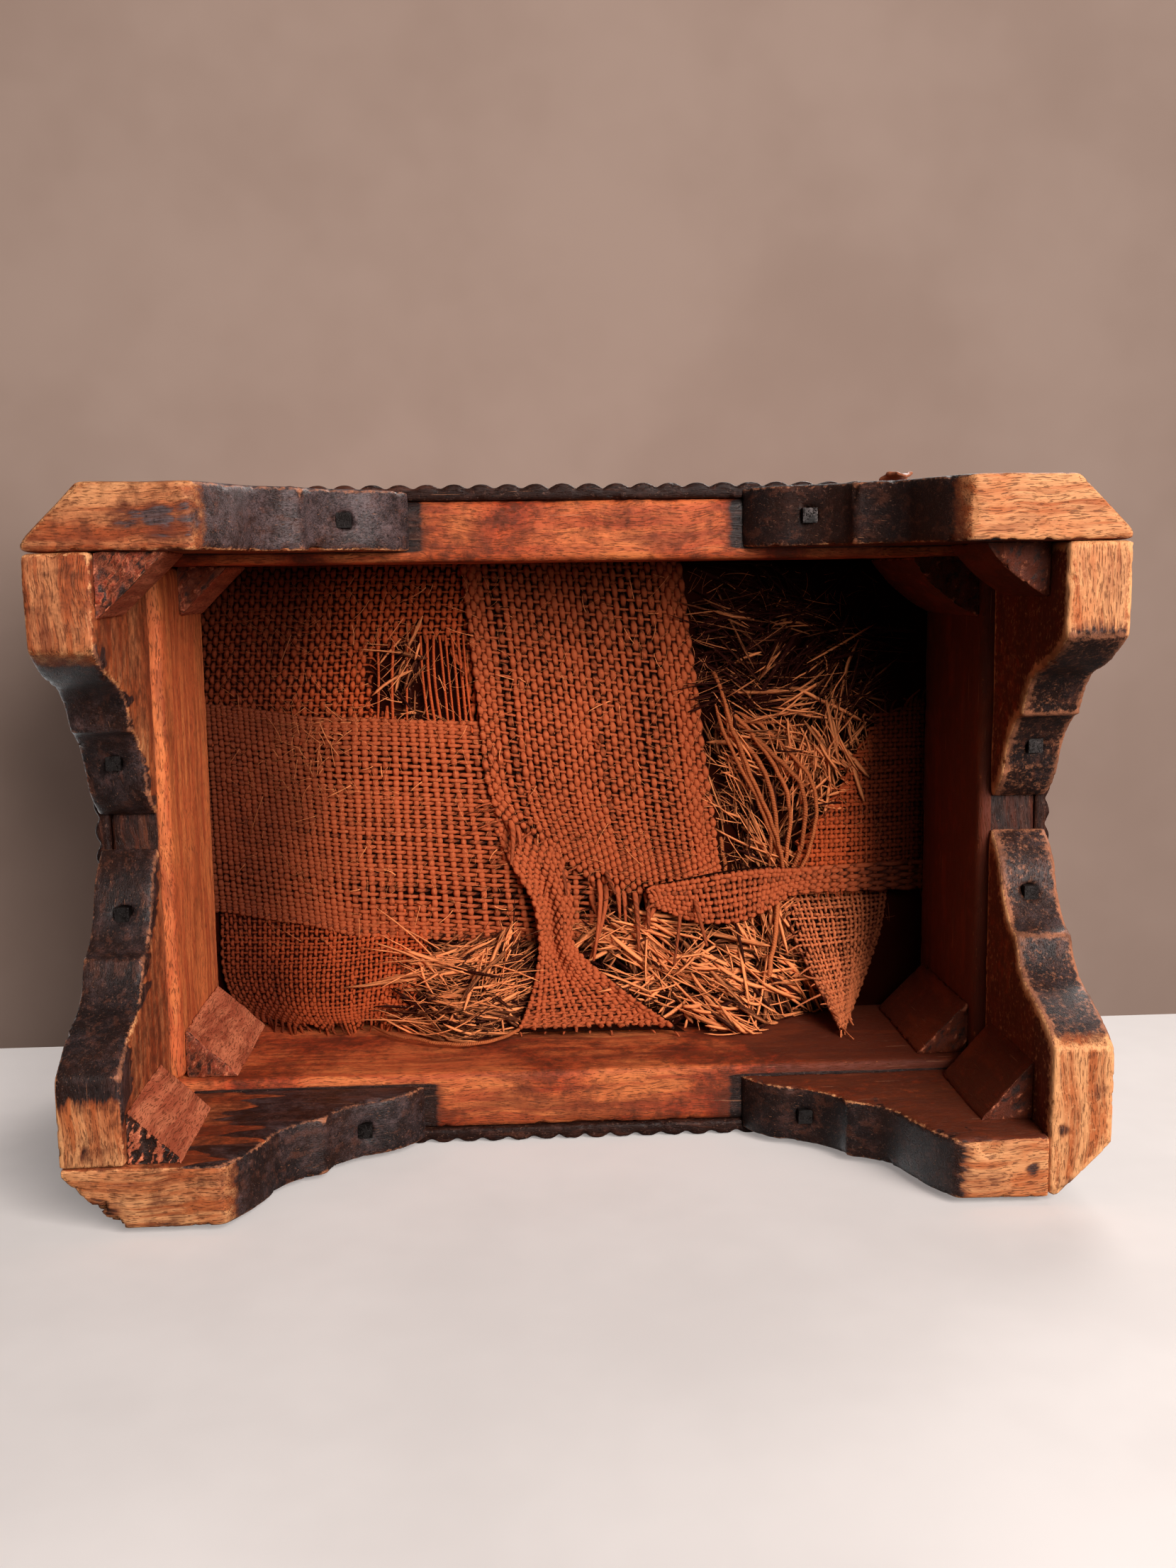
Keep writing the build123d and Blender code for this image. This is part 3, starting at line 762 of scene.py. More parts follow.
@dataclass
class BracketFeet:
    """The eight scroll-cut boards of the feet: bare soles, black scrolls and stained inner faces."""

    finish: TimberFinish = TimberFinish("bracket_timber")
    bare_to: dict[str, float] = field(default_factory=lambda: {
        "front_left_long": 49, "front_left_side": 50, "front_right_long": 50, "front_right_side": 44,
        "back_left_long": 49, "back_left_side": 39, "back_right_long": 45, "back_right_side": 49,
    })
    inner_stain: dict[str, tuple[float, float]] = field(default_factory=lambda: {
        "back_left_long": (1.0, 400), "back_left_side": (0.9, 15), "front_left_side": (0.85, 11),
        "front_right_long": (0.6, 10), "back_right_side": (0.4, 8), "back_right_long": (0.45, 9),
    })
    # How dusty each bracket's black finish is, and how much painted sheen it has.
    dust: dict[str, float] = field(default_factory=lambda: {
        "front_left_long": 0.66, "front_left_side": 0.4, "front_right_long": 0.0, "front_right_side": 0.3,
        "back_left_long": 0.45, "back_left_side": 0.35, "back_right_long": 0.3, "back_right_side": 0.4,
    })

    def shade(self, name: str, along_x: bool, sx: int, sy: int) -> Shade:
        """How black each place on one bracket is.

        Args:
            name: the corner and direction of the bracket.
            along_x: whether it runs along the long side.
            sx: the corner's side, -1 left and 1 right.
            sy: the corner's end, -1 front and 1 back.

        Returns:
            A function of the points and normals.
        """
        low, high = (np.array(corner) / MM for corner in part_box(f"bracket_{name}"))
        limit = self.bare_to[name]
        strength, reach = self.inner_stain.get(name, (0.2, 6))

        def black(points: np.ndarray, normals: np.ndarray) -> np.ndarray:
            """How black the bracket is at each place."""
            run = (high[0] - points[:, 0] if sx > 0 else points[:, 0] - low[0]) if along_x else (
                high[1] - points[:, 1] if sy > 0 else points[:, 1] - low[1])
            if run.max() < 90:
                run = run + 19
            outward = normals[:, 1] * sy if along_x else normals[:, 0] * sx
            z = points[:, 2]
            scroll = (np.abs(outward) < 0.65) & (z < high[2] - 0.7)
            cells = np.arange(0, 105, 2.0)
            edge = np.array([z[scroll & (np.abs(run - c) < 3)].min(initial=high[2]) for c in cells])
            above = z - np.interp(run, cells, edge)
            cut = span(run, limit - 5, limit + 7) * 0.98
            flat = np.zeros(len(z))
            tongue = (lattice_noise(np.stack([flat, run / 60, z / 4.8], 1), 12, 2) - 0.5) * 52
            spike = (lattice_noise(np.stack([run / 2.6, flat, z / 30], 1), 14, 2) - 0.4) * 22
            tongue = tongue * (1.0 if along_x else 0.4)
            inner = strength * span(above + spike, reach, reach * 0.6) * span(run + tongue, limit - 6, limit)
            outer = 0.86 * span(z + 0.05 * run, 1.0, 8.0)
            return np.where(outward > FACING, outer, np.where(outward < -FACING, inner, cut))

        return black

    @staticmethod
    def raggedness(along_x: bool, sx: int, sy: int) -> Shade:
        """How far the black runs out in tongues: far on the inner faces, little on the cut edges."""
        return lambda points, normals: np.where(
            (normals[:, 1] * sy if along_x else normals[:, 0] * sx) < -FACING, 1.1,
            np.where(on_sole(points, normals), 1.6, 0.5))

    @staticmethod
    def bracket_soil_and_shade(along_x: bool, sx: int, sy: int) -> Shade:
        """How dark the wood is: cloudy grime, more on the soles at the left and on the inner faces, and
        painted shade that makes the inner faces at the right darker still.
        """
        def darkening_here(points: np.ndarray, normals: np.ndarray) -> np.ndarray:
            """Grime and painted shade on one bracket."""
            inner = (normals[:, 1] * sy if along_x else normals[:, 0] * sx) < -FACING
            cloud = 0.28 + 0.3 * lattice_noise(points / 23, 4)
            # Painted shade: the inner faces at the right get the larger extra.
            sole_share, inner_extra = (0.35, 0.48) if sx > 0 else (1.15, 0.22)
            return np.where(on_sole(points, normals), cloud * sole_share, cloud + inner * inner_extra)
        return darkening_here

    @staticmethod
    def nails() -> np.ndarray:
        """Middles of the eight nails on the plan, read from their solids."""
        points = read_points(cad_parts["bracket_nails"])[:, :2]
        middles = np.empty((0, 2))
        for point in points:
            if not len(middles) or np.linalg.norm(middles - point, axis=1).min() > 10:
                group = points[np.linalg.norm(points - point, axis=1) < 10]
                middles = np.vstack([middles, (group.min(0) + group.max(0)) / 2])
        return middles

    def build(self) -> list[bpy.types.Object]:
        """Makes all eight brackets."""
        bruises = {
            "back_left_long": (Bruise((-151, 107, 0), 9, 3.4, 0.9), Bruise((-141, 107, 1), 7, 2.2, 0.9)),
            "back_right_long": (Bruise((118, 91, 1), 5, 1.2, 0.8),),
            "front_left_side": (Bruise((-136, -52, 10), 5, 1.0),),
            "back_right_side": (Bruise((155, 106, 0), 5, 1.4, 0.9),),
        }
        smudges = {
            "front_left_long": (
                ((-126, -97, 0), 7, 0.42), ((-117, -96, 0), 8, 0.46), ((-108, -97, 0), 7, 0.46)),
            "front_left_side": (((-142, -56, 0), 4, 0.5),),
            "back_left_long": (((-143, 100, 0), 7, 0.3), ((-126, 103, 0), 9, 0.22)),
            "back_left_side": (((-147, 84, 0), 4, 0.3),),
            "back_right_long": (((131, 98, 0), 3.0, 0.5), ((120, 103, 0), 8, 0.15)),
            "back_right_side": (((142, 104, 0), 5, 0.4), ((140, 86, 0), 3.0, 0.36), ((150, 74, 0), 4, 0.25)),
        }
        made = []
        nails = self.nails()
        for sx, side in ((-1, "left"), (1, "right")):
            for sy, end in ((-1, "front"), (1, "back")):
                for along_x, kind in ((True, "long"), (False, "side")):
                    name = f"{end}_{side}_{kind}"
                    low, high = (np.array(corner)[:2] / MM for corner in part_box(f"bracket_{name}"))
                    own = tuple(tuple(nail) for nail in nails if (nail > low).all() and (nail < high).all())
                    made.append(WornTimber(
                        f"bracket_{name}", self.finish, "bracket_wood", Grain.X if along_x else Grain.Y,
                        board=len(made) + 1, ebony=self.shade(name, along_x, sx, sy), dust=self.dust[name],
                        rubbed=0.75 if side == "right" else 0.85,
                        rubbed_all=0.48 if name in ("front_right_side", "back_right_side") else 0.0,
                        nails=own,
                        ragged=self.raggedness(along_x, sx, sy),
                        bruises=bruises.get(name, ()), smudges=smudges.get(name, ()),
                        soil=self.bracket_soil_and_shade(along_x, sx, sy),
                    ).build())
        return made


@dataclass
class SeatFrame:
    """The four rails and their lobed mouldings."""

    rail_finish: TimberFinish = TimberFinish("rail_timber", (252, 142, 80), (204, 94, 52))
    moulding_finish: TimberFinish = TimberFinish(
        "moulding_timber", (150, 68, 44), (98, 40, 26), (30, 12, 8), specular=0.16)
    gap_half: float = 53.0
    # How much darker each rail is: painted shade, most on the right rail, and painted light that keeps the
    # left rail paler.
    dim: dict[str, float] = field(default_factory=lambda: {
        "right": 1.0, "back": 0.1, "front": 0.14, "left": -0.28,
    })

    def rail_soil(self, side: str) -> Shade:
        """Where one rail darkens: cloudy grime all over, and painted shade, most on the right rail and
        towards the right of the back rail.
        """
        def darkening_here(points: np.ndarray, normals: np.ndarray) -> np.ndarray:
            """Grime and painted shade on the rail."""
            cloud = 0.05 + self.dim[side] + 0.75 * lattice_noise(points / 17, 8, 2)
            # Painted shade towards the right of the back rail.
            return cloud + (side == "back") * 0.9 * span(points[:, 0], 20, 110)
        return darkening_here

    def rail_black(self, points: np.ndarray, normals: np.ndarray) -> np.ndarray:
        """Black ends beside the brackets on the foot of a rail, and a scorched patch at the side ones."""
        x, y, z = np.abs(points.T)
        foot = span(z, 68, 65)
        ends = span(x, self.gap_half - 9, self.gap_half + 2) * (y > 88)
        return foot * np.where(x > 130, 0.5 * (x > 136), ends * 0.9)

    def build(self) -> list[bpy.types.Object]:
        """Makes the rails and the mouldings."""
        made = []
        for number, side in enumerate(("front", "back", "left", "right")):
            grain = Grain.X if side in ("front", "back") else Grain.Y
            made.append(WornTimber(
                f"{side}_rail", self.rail_finish, "rail_wood", grain, board=20 + number, cell=1.35, chip=0.7,
                worn_rounds=8, ebony=self.rail_black, dust=0.15, rubbed=0.6, soil=self.rail_soil(side),
            ).build())
            made.append(WornTimber(
                f"{side}_moulding", self.moulding_finish, "moulding_wood", grain, board=30 + number,
                cell=0.62, soft_rounds=3, worn_rounds=7, chip=0.45, ripple=0.12, dust=0.0, rubbed=0.5,
                ebony=even(0.62), soil=even(0.5),
            ).build())
        return made


@dataclass
class GlueBlocks:
    """The triangular blocks in the feet and between the rails, with rough sawn ends."""

    finish: TimberFinish = TimberFinish("block_timber", (236, 138, 98), (176, 86, 58), (34, 20, 16))
    palest: str = "foot_block_back_left"

    def end_soil_and_shade(self, node: str, low: float) -> Shade:
        """Grime on the sawn lower end, and painted shade all over the blocks at the right.

        Args:
            node: the block's CAD node.
            low: height of its lower end.

        Returns:
            A function of the points and normals.
        """
        # Painted shade darkens the blocks at the right all over.
        spread = 0.62 if "right" in node else 0.0
        end_extra = -0.3 if node == self.palest else 0.5

        def darkening_here(points: np.ndarray, normals: np.ndarray) -> np.ndarray:
            """Grime and painted shade on the block."""
            end = span(points[:, 2] - low, 1.6, 0.4) * (normals[:, 2] < -0.4)
            return 0.3 + spread + end_extra * end
        return darkening_here

    def charred_end(self, node: str, low: float) -> Shade:
        """Black in the hollows of the sawn lower end, strongest on the palest block."""
        strength = 0.95 if node == self.palest else 0.5
        return lambda points, normals: span(points[:, 2] - low, 2.4, 1.2) * self.kerf(points) * strength

    def build(self) -> list[bpy.types.Object]:
        """Makes the eight blocks."""
        made = []
        for kind in ("foot_block", "rail_block"):
            for corner in ("front_left", "front_right", "back_left", "back_right"):
                node = f"{kind}_{corner}"
                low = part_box(node)[0].z / MM
                piece = WornTimber(
                    node, self.finish, "block_wood", Grain.Z, board=40 + len(made),
                    cell=0.5 if node == self.palest else 0.8, chip=1.1, worn_rounds=9, dust=0.1, rubbed=0.8,
                    ebony=self.charred_end(node, low), soil=self.end_soil_and_shade(node, low),
                )
                obj = piece.rough_out()
                self.tear_end(obj, low, piece.board)
                piece.age(obj)
                made.append(settle(obj, piece.slot, piece.finish.material(piece.grain), node))
        return made

    @staticmethod
    def kerf(points: np.ndarray) -> np.ndarray:
        """Slanting torn lines that a coarse saw leaves, from 0 to 1."""
        x, y, _ = points.T
        slanted = np.stack([(x + 0.6 * y) / 0.85, (y - 0.6 * x) / 2.8, np.zeros(len(x))], 1)
        return span(lattice_noise(slanted, 13, 2), 0.42, 0.52)

    def tear_end(self, obj: bpy.types.Object, low: float, seed: int) -> None:
        """Makes the sawn lower end coarse."""
        points, normals = read_points(obj), read_normals(obj)
        end = span(points[:, 2] - low, 1.5, 0.3) * (normals[:, 2] < -0.5)
        points[:, 2] += end * (self.kerf(points) * 1.1 + lattice_noise(points / 1.7, seed, 2) * 0.8)
        write_points(obj, points)


# Strands, yarns and cloth, in millimetres

class Strands:
    """Gathers many thin strands into one mesh."""

    def __init__(self) -> None:
        """Starts with no strands."""
        self.points: list[np.ndarray] = []
        self.tones: list[np.ndarray] = []
        self.quads: list[np.ndarray] = []
        self.lay: list[np.ndarray] = []
        self.caps: list[list[int]] = []
        self.count = 0

    def add(self, path: np.ndarray, width: np.ndarray | float, depth: np.ndarray | float,
            tone: np.ndarray | float, sides: int = 5, up: Sequence[float] = (0, 0, 1)) -> None:
        """Adds one strand.

        Args:
            path: the places along it.
            width: half its width across, at each place or everywhere.
            depth: half its thickness along up.
            tone: how light it is, from 0 to 1, at each place or everywhere.
            sides: how many faces go round it.
            up: which way its thin side faces.
        """
        count = len(path)
        run = unit(np.gradient(path, axis=0))
        side = np.cross(np.broadcast_to(np.asarray(up, float), path.shape), run)
        weak = np.linalg.norm(side, axis=1) < 0.05
        side[weak] = np.cross((0.3, 1.0, 0.2), run[weak])
        side = unit(side)
        top = np.cross(run, side)
        angle = 2 * np.pi * np.arange(sides) / sides
        width = np.broadcast_to(width, (count,))[:, None, None]
        depth = np.broadcast_to(depth, (count,))[:, None, None]
        ring = path[:, None] + side[:, None] * np.cos(angle)[None, :, None] * width
        ring = ring + top[:, None] * np.sin(angle)[None, :, None] * depth
        self.points.append(ring.reshape(-1, 3))
        self.tones.append(np.broadcast_to(tone, (count,)).repeat(sides))
        k, j = np.meshgrid(np.arange(count - 1), np.arange(sides), indexing="ij")
        here, after = k * sides + j, k * sides + (j + 1) % sides
        quads = np.stack([here, after, after + sides, here + sides], -1).reshape(-1, 4)
        self.quads.append(self.count + quads)
        length = np.concatenate([[0], np.cumsum(np.linalg.norm(np.diff(path, axis=0), axis=1))])
        length = length / (2 * float(width.max()))
        u = np.stack([length[k], length[k], length[k + 1], length[k + 1]], -1)
        v = np.stack([j, j + 1, j + 1, j], -1) / sides
        self.lay.append(np.stack([u, v], -1).reshape(-1, 2))
        self.caps.append([self.count + i for i in reversed(range(sides))])
        self.caps.append([self.count + (count - 1) * sides + i for i in range(sides)])
        self.count += count * sides

    def build(self, name: str) -> bpy.types.Object:
        """Makes the mesh and its object."""
        quads = np.concatenate(self.quads)
        obj = new_piece(name, np.concatenate(self.points), quads.tolist() + self.caps)
        lay = obj.data.uv_layers.new(name="Lay")
        ends = np.zeros((sum(len(cap) for cap in self.caps), 2))
        lay.data.foreach_set("uv", np.concatenate([*self.lay, ends]).astype(np.float32).ravel())
        mark(obj, "tone", np.concatenate(self.tones))
        mark(obj, "soil", Underside.soil(np.concatenate(self.points)))
        return obj


class Underside:
    """The lie of the cloth and straw seen from below: heights in millimetres over the plan."""

    web_z = 131.8
    strap_step = 1.8

    @staticmethod
    def sag(x: np.ndarray, y: np.ndarray) -> np.ndarray:
        """How far the webbing hangs below its level."""
        place = np.stack([x / 30, y / 30, np.zeros_like(x)], -1).reshape(-1, 3)
        lumps = lattice_noise(place, 11, 2).reshape(np.shape(x))
        slack = np.clip(1 - np.abs(x / 134) ** 4, 0, 1) * np.clip(1 - (y / 100) ** 6, 0, 1)
        return slack * (9.0 + 3.4 * (lumps - 0.5))

    @staticmethod
    def belly(x: np.ndarray, y: np.ndarray) -> np.ndarray:
        """How far the slumped straw bulges past the webbing, most of it towards the back rail."""
        slump = span(y, 44, 84) ** 1.25
        heap = 30 * np.exp(-((x - 52) / 30) ** 2) + 27 * np.exp(-((x + 40) / 24) ** 2)
        heap = heap + 17 * np.exp(-((x + 92) / 26) ** 2) + 13 * np.exp(-(x / 26) ** 2)
        tuft = 7 * np.exp(-((x - 78) / 26) ** 2 - ((y + 38) / 30) ** 2)
        return slump * heap + tuft + 3.0 * np.exp(-((x - 78) / 20) ** 2 - ((y - 6) / 24) ** 2)

    @staticmethod
    def soil(points: np.ndarray) -> np.ndarray:
        """How dark the cloth is: darker beside the left rail, with painted shade beside the right rail and
        under the front one, and in cloudy patches.
        """
        x, y, _ = points.T
        cloud = lattice_noise(points / 24, 17, 3)
        sides = 1.05 * span(-x, 58, 122) + 1.2 * span(x, 98, 120)
        return np.clip(sides + 0.4 * span(-y, 40, 84) + 0.6 * (cloud - 0.42), 0, 1)

    @classmethod
    def strap(cls, x: np.ndarray, y: np.ndarray, layer: int) -> np.ndarray:
        """Height of the cross strap (layer 0), the long strap (1) or the base cloth (2)."""
        return cls.web_z + layer * cls.strap_step - cls.sag(x, y)


Surface = Callable[[np.ndarray, np.ndarray], np.ndarray]
Keep = Callable[[np.ndarray, np.ndarray, np.ndarray, np.ndarray], np.ndarray]


def everywhere(s: np.ndarray, t: np.ndarray, x: np.ndarray, y: np.ndarray) -> np.ndarray:
    """Keeps a yarn over its whole length."""
    return np.ones(len(x), bool)


@dataclass
class Weave:
    """Plain weave over a surface of two shares: s across the warps and t along them."""

    surface: Surface
    warps: int
    wefts: int
    warp_half: float
    weft_half: float
    warp_lift: float
    weft_lift: float
    seed: int
    warp_steps: int = 2
    weft_steps: int = 2
    bead: float = 0.16
    sides: int = 6
    open_lines: tuple[float, ...] = ()
    open_extra: float = 0.9
    wobble: float = 0.22
    shade: float = 0.6
    selvage: float = 0.0
    fray: float = 3.0
    fall: tuple[float, float, float] = (0.0, 0.3, -0.25)
    keep_warp: Keep = everywhere
    keep_weft: Keep = everywhere

    def places(self, count: int, open_lines: tuple[float, ...], selvage: float = 0.0) -> np.ndarray:
        """Shares of the yarns, spread wider at the open lines and closer at the selvages."""
        edge = np.minimum(np.arange(count), np.arange(count)[::-1])
        step = 1 - selvage * (edge < 4)
        for line in open_lines:
            step += self.open_extra * np.exp(-((np.arange(count) / count - line) * count / 1.3) ** 2)
        ends = np.cumsum(step)
        return (ends - step / 2) / ends[-1]

    def weave_into(self, strands: Strands) -> None:
        """Lays every yarn into the bundle."""
        chance = np.random.default_rng(self.seed)
        across = self.places(self.warps, self.open_lines, self.selvage)
        along = self.places(self.wefts, ())
        for is_warp in (True, False):
            own, other = (across, along) if is_warp else (along, across)
            half, lift, steps = (self.warp_half, self.warp_lift, self.warp_steps) if is_warp else (
                self.weft_half, self.weft_lift, self.weft_steps)
            phase = np.arange(steps * len(other) + 1) / steps - 0.5
            ladder = np.interp(phase, np.arange(-1, len(other) + 1), np.concatenate([[0], other, [1]]))
            for number, share in enumerate(own):
                apart = np.full_like(phase, number * 0.83)
                kind = np.full_like(phase, 3.0 if is_warp else 9.0)
                drift = lattice_noise(np.stack([phase / 9, apart, kind], 1), self.seed, 2)
                placed = share + (drift - 0.5) * 2 * self.wobble / len(own)
                s, t = (placed, ladder) if is_warp else (ladder, placed)
                middle = self.surface(s, t)
                near = self.surface(s + 0.01, t) - self.surface(s - 0.01, t)
                far = self.surface(s, t + 0.01) - self.surface(s, t - 0.01)
                normal = unit(np.cross(near, far))
                normal *= np.where(normal[:, 2:] < 0, -1, 1)
                wave = np.cos(np.pi * (phase + number)) * (1 if is_warp else -1)
                path = middle + normal * (wave * lift)[:, None]
                kept = (self.keep_warp if is_warp else self.keep_weft)(s, t, middle[:, 0], middle[:, 1])
                self.cut(strands, path, kept, half * (1 - self.bead * wave), wave, chance)

    def cut(self, strands: Strands, path: np.ndarray, kept: np.ndarray, half: np.ndarray,
            wave: np.ndarray, chance: np.random.Generator) -> None:
        """Adds the kept runs of one yarn, with loose ends where it is torn.

        Args:
            strands: the bundle.
            path: the yarn's places.
            kept: which of them are left.
            half: half the yarn's width at each place.
            wave: whether it passes behind the other yarns (1) or before them (-1) at each place.
            chance: the seeded random numbers.
        """
        marks = np.flatnonzero(np.diff(np.concatenate([[0], kept.astype(int), [0]])))
        tone = float(np.clip(chance.normal(0.42, 0.2), 0, 1))
        # Painted shade: each yarn is darker where it dips behind the others and lighter where it crosses over
        # them.
        tones = tone + 0.3 * (lattice_noise(path / 2.7, self.seed + 31) - 0.5) - self.shade * wave
        for start, stop in zip(marks[::2], marks[1::2]):
            if stop - start < 4:
                continue
            run = path[start:stop]
            width = half[start:stop] * (0.84 + 0.32 * lattice_noise(run / 4.1, self.seed + start))
            shades = tones[start:stop]
            if self.fray and stop < len(path):
                run, width = self.loosen(run, width, chance)
                shades = np.concatenate([shades, np.full(5, tone + 0.1)])
            if self.fray and start > 0:
                run, width = self.loosen(run[::-1], width[::-1], chance)
                shades = np.concatenate([shades[::-1], np.full(5, tone + 0.1)])
            strands.add(run, width, width * 0.74, shades, self.sides)

    def loosen(self, run: np.ndarray, width: np.ndarray,
               chance: np.random.Generator) -> tuple[np.ndarray, np.ndarray]:
        """Lets the end of a yarn hang on past the tear.

        Args:
            run: the yarn's places up to the tear.
            width: its half widths.
            chance: the seeded random numbers.

        Returns:
            The longer run and its half widths.
        """
        reach = self.fray * chance.uniform(0.3, 1.5)
        share = np.linspace(0.2, 1, 5)[:, None]
        ahead = unit(run[-1] - run[-4])
        bend = chance.normal(0, 0.35, 3) + np.array(self.fall)
        tail = run[-1] + reach * (ahead * share + bend * share ** 2)
        return np.vstack([run, tail]), np.concatenate([width, width[-1] * (1.05 - 0.6 * share[:, 0])])


def between(low_edge: Path, high_edge: Path, lift: Optional[Surface] = None) -> Surface:
    """A surface between two edges.

    Args:
        low_edge: places along the edge at s = 0.
        high_edge: places along the edge at s = 1.
        lift: height over the plan, where the edges give none.

    Returns:
        The surface as a function of two shares.
    """
    samples = 60
    low, high = smooth_path(low_edge, samples), smooth_path(high_edge, samples)

    def surface(s: np.ndarray, t: np.ndarray) -> np.ndarray:
        """The places at these shares."""
        at = t * (samples - 1)
        a = np.stack([np.interp(at, np.arange(samples), low[:, k]) for k in range(low.shape[1])], -1)
        b = np.stack([np.interp(at, np.arange(samples), high[:, k]) for k in range(high.shape[1])], -1)
        placed = a + (b - a) * np.asarray(s)[:, None]
        if lift is None:
            return placed
        return np.column_stack([placed[:, :2], lift(placed[:, 0], placed[:, 1])])

    return surface


@dataclass
class ClothBase:
    """The thin cloth behind a field of yarns."""

    name: str
    slot: str
    nodes: tuple[str, ...]
    surface: Surface
    columns: int
    rows: int
    keep: Keep = everywhere
    back: float = 0.75
    thick: float = 0.16

    def build(self, material: bpy.types.Material, held: str, rests_on: Sequence[str],
              yarns: Sequence[bpy.types.Object]) -> None:
        """Makes the sheet from the faces of its grid that are kept, thickens it and puts it in place of its
        nodes. It isn't a cut size measured apart from the model.

        Args:
            material: the cloth's material.
            held: how it is held; not used.
            rests_on: what it is fixed to; not used.
            yarns: the yarn pieces that lie on it; not used.
        """
        grid = np.meshgrid(np.linspace(0, 1, self.columns), np.linspace(0, 1, self.rows))
        s, t = (axis.ravel() for axis in grid)
        points = self.surface(s, t)
        points[:, 2] += self.back
        kept = self.keep(s, t, points[:, 0], points[:, 1]).reshape(self.rows, self.columns)
        faces = []
        for r in range(self.rows - 1):
            for c in range(self.columns - 1):
                if kept[r:r + 2, c:c + 2].all():
                    first = r * self.columns + c
                    faces.append((first, first + 1, first + 1 + self.columns, first + self.columns))
        obj = new_piece(self.name, points, faces)
        edit_all(obj, bpy.ops.mesh.delete_loose)
        finish_modifier(obj, "SOLIDIFY", thickness=self.thick * MM, offset=0)
        mark(obj, "tone", 0.2)
        mark(obj, "soil", Underside.soil(read_points(obj)))
        settle(obj, self.slot, material, *self.nodes)


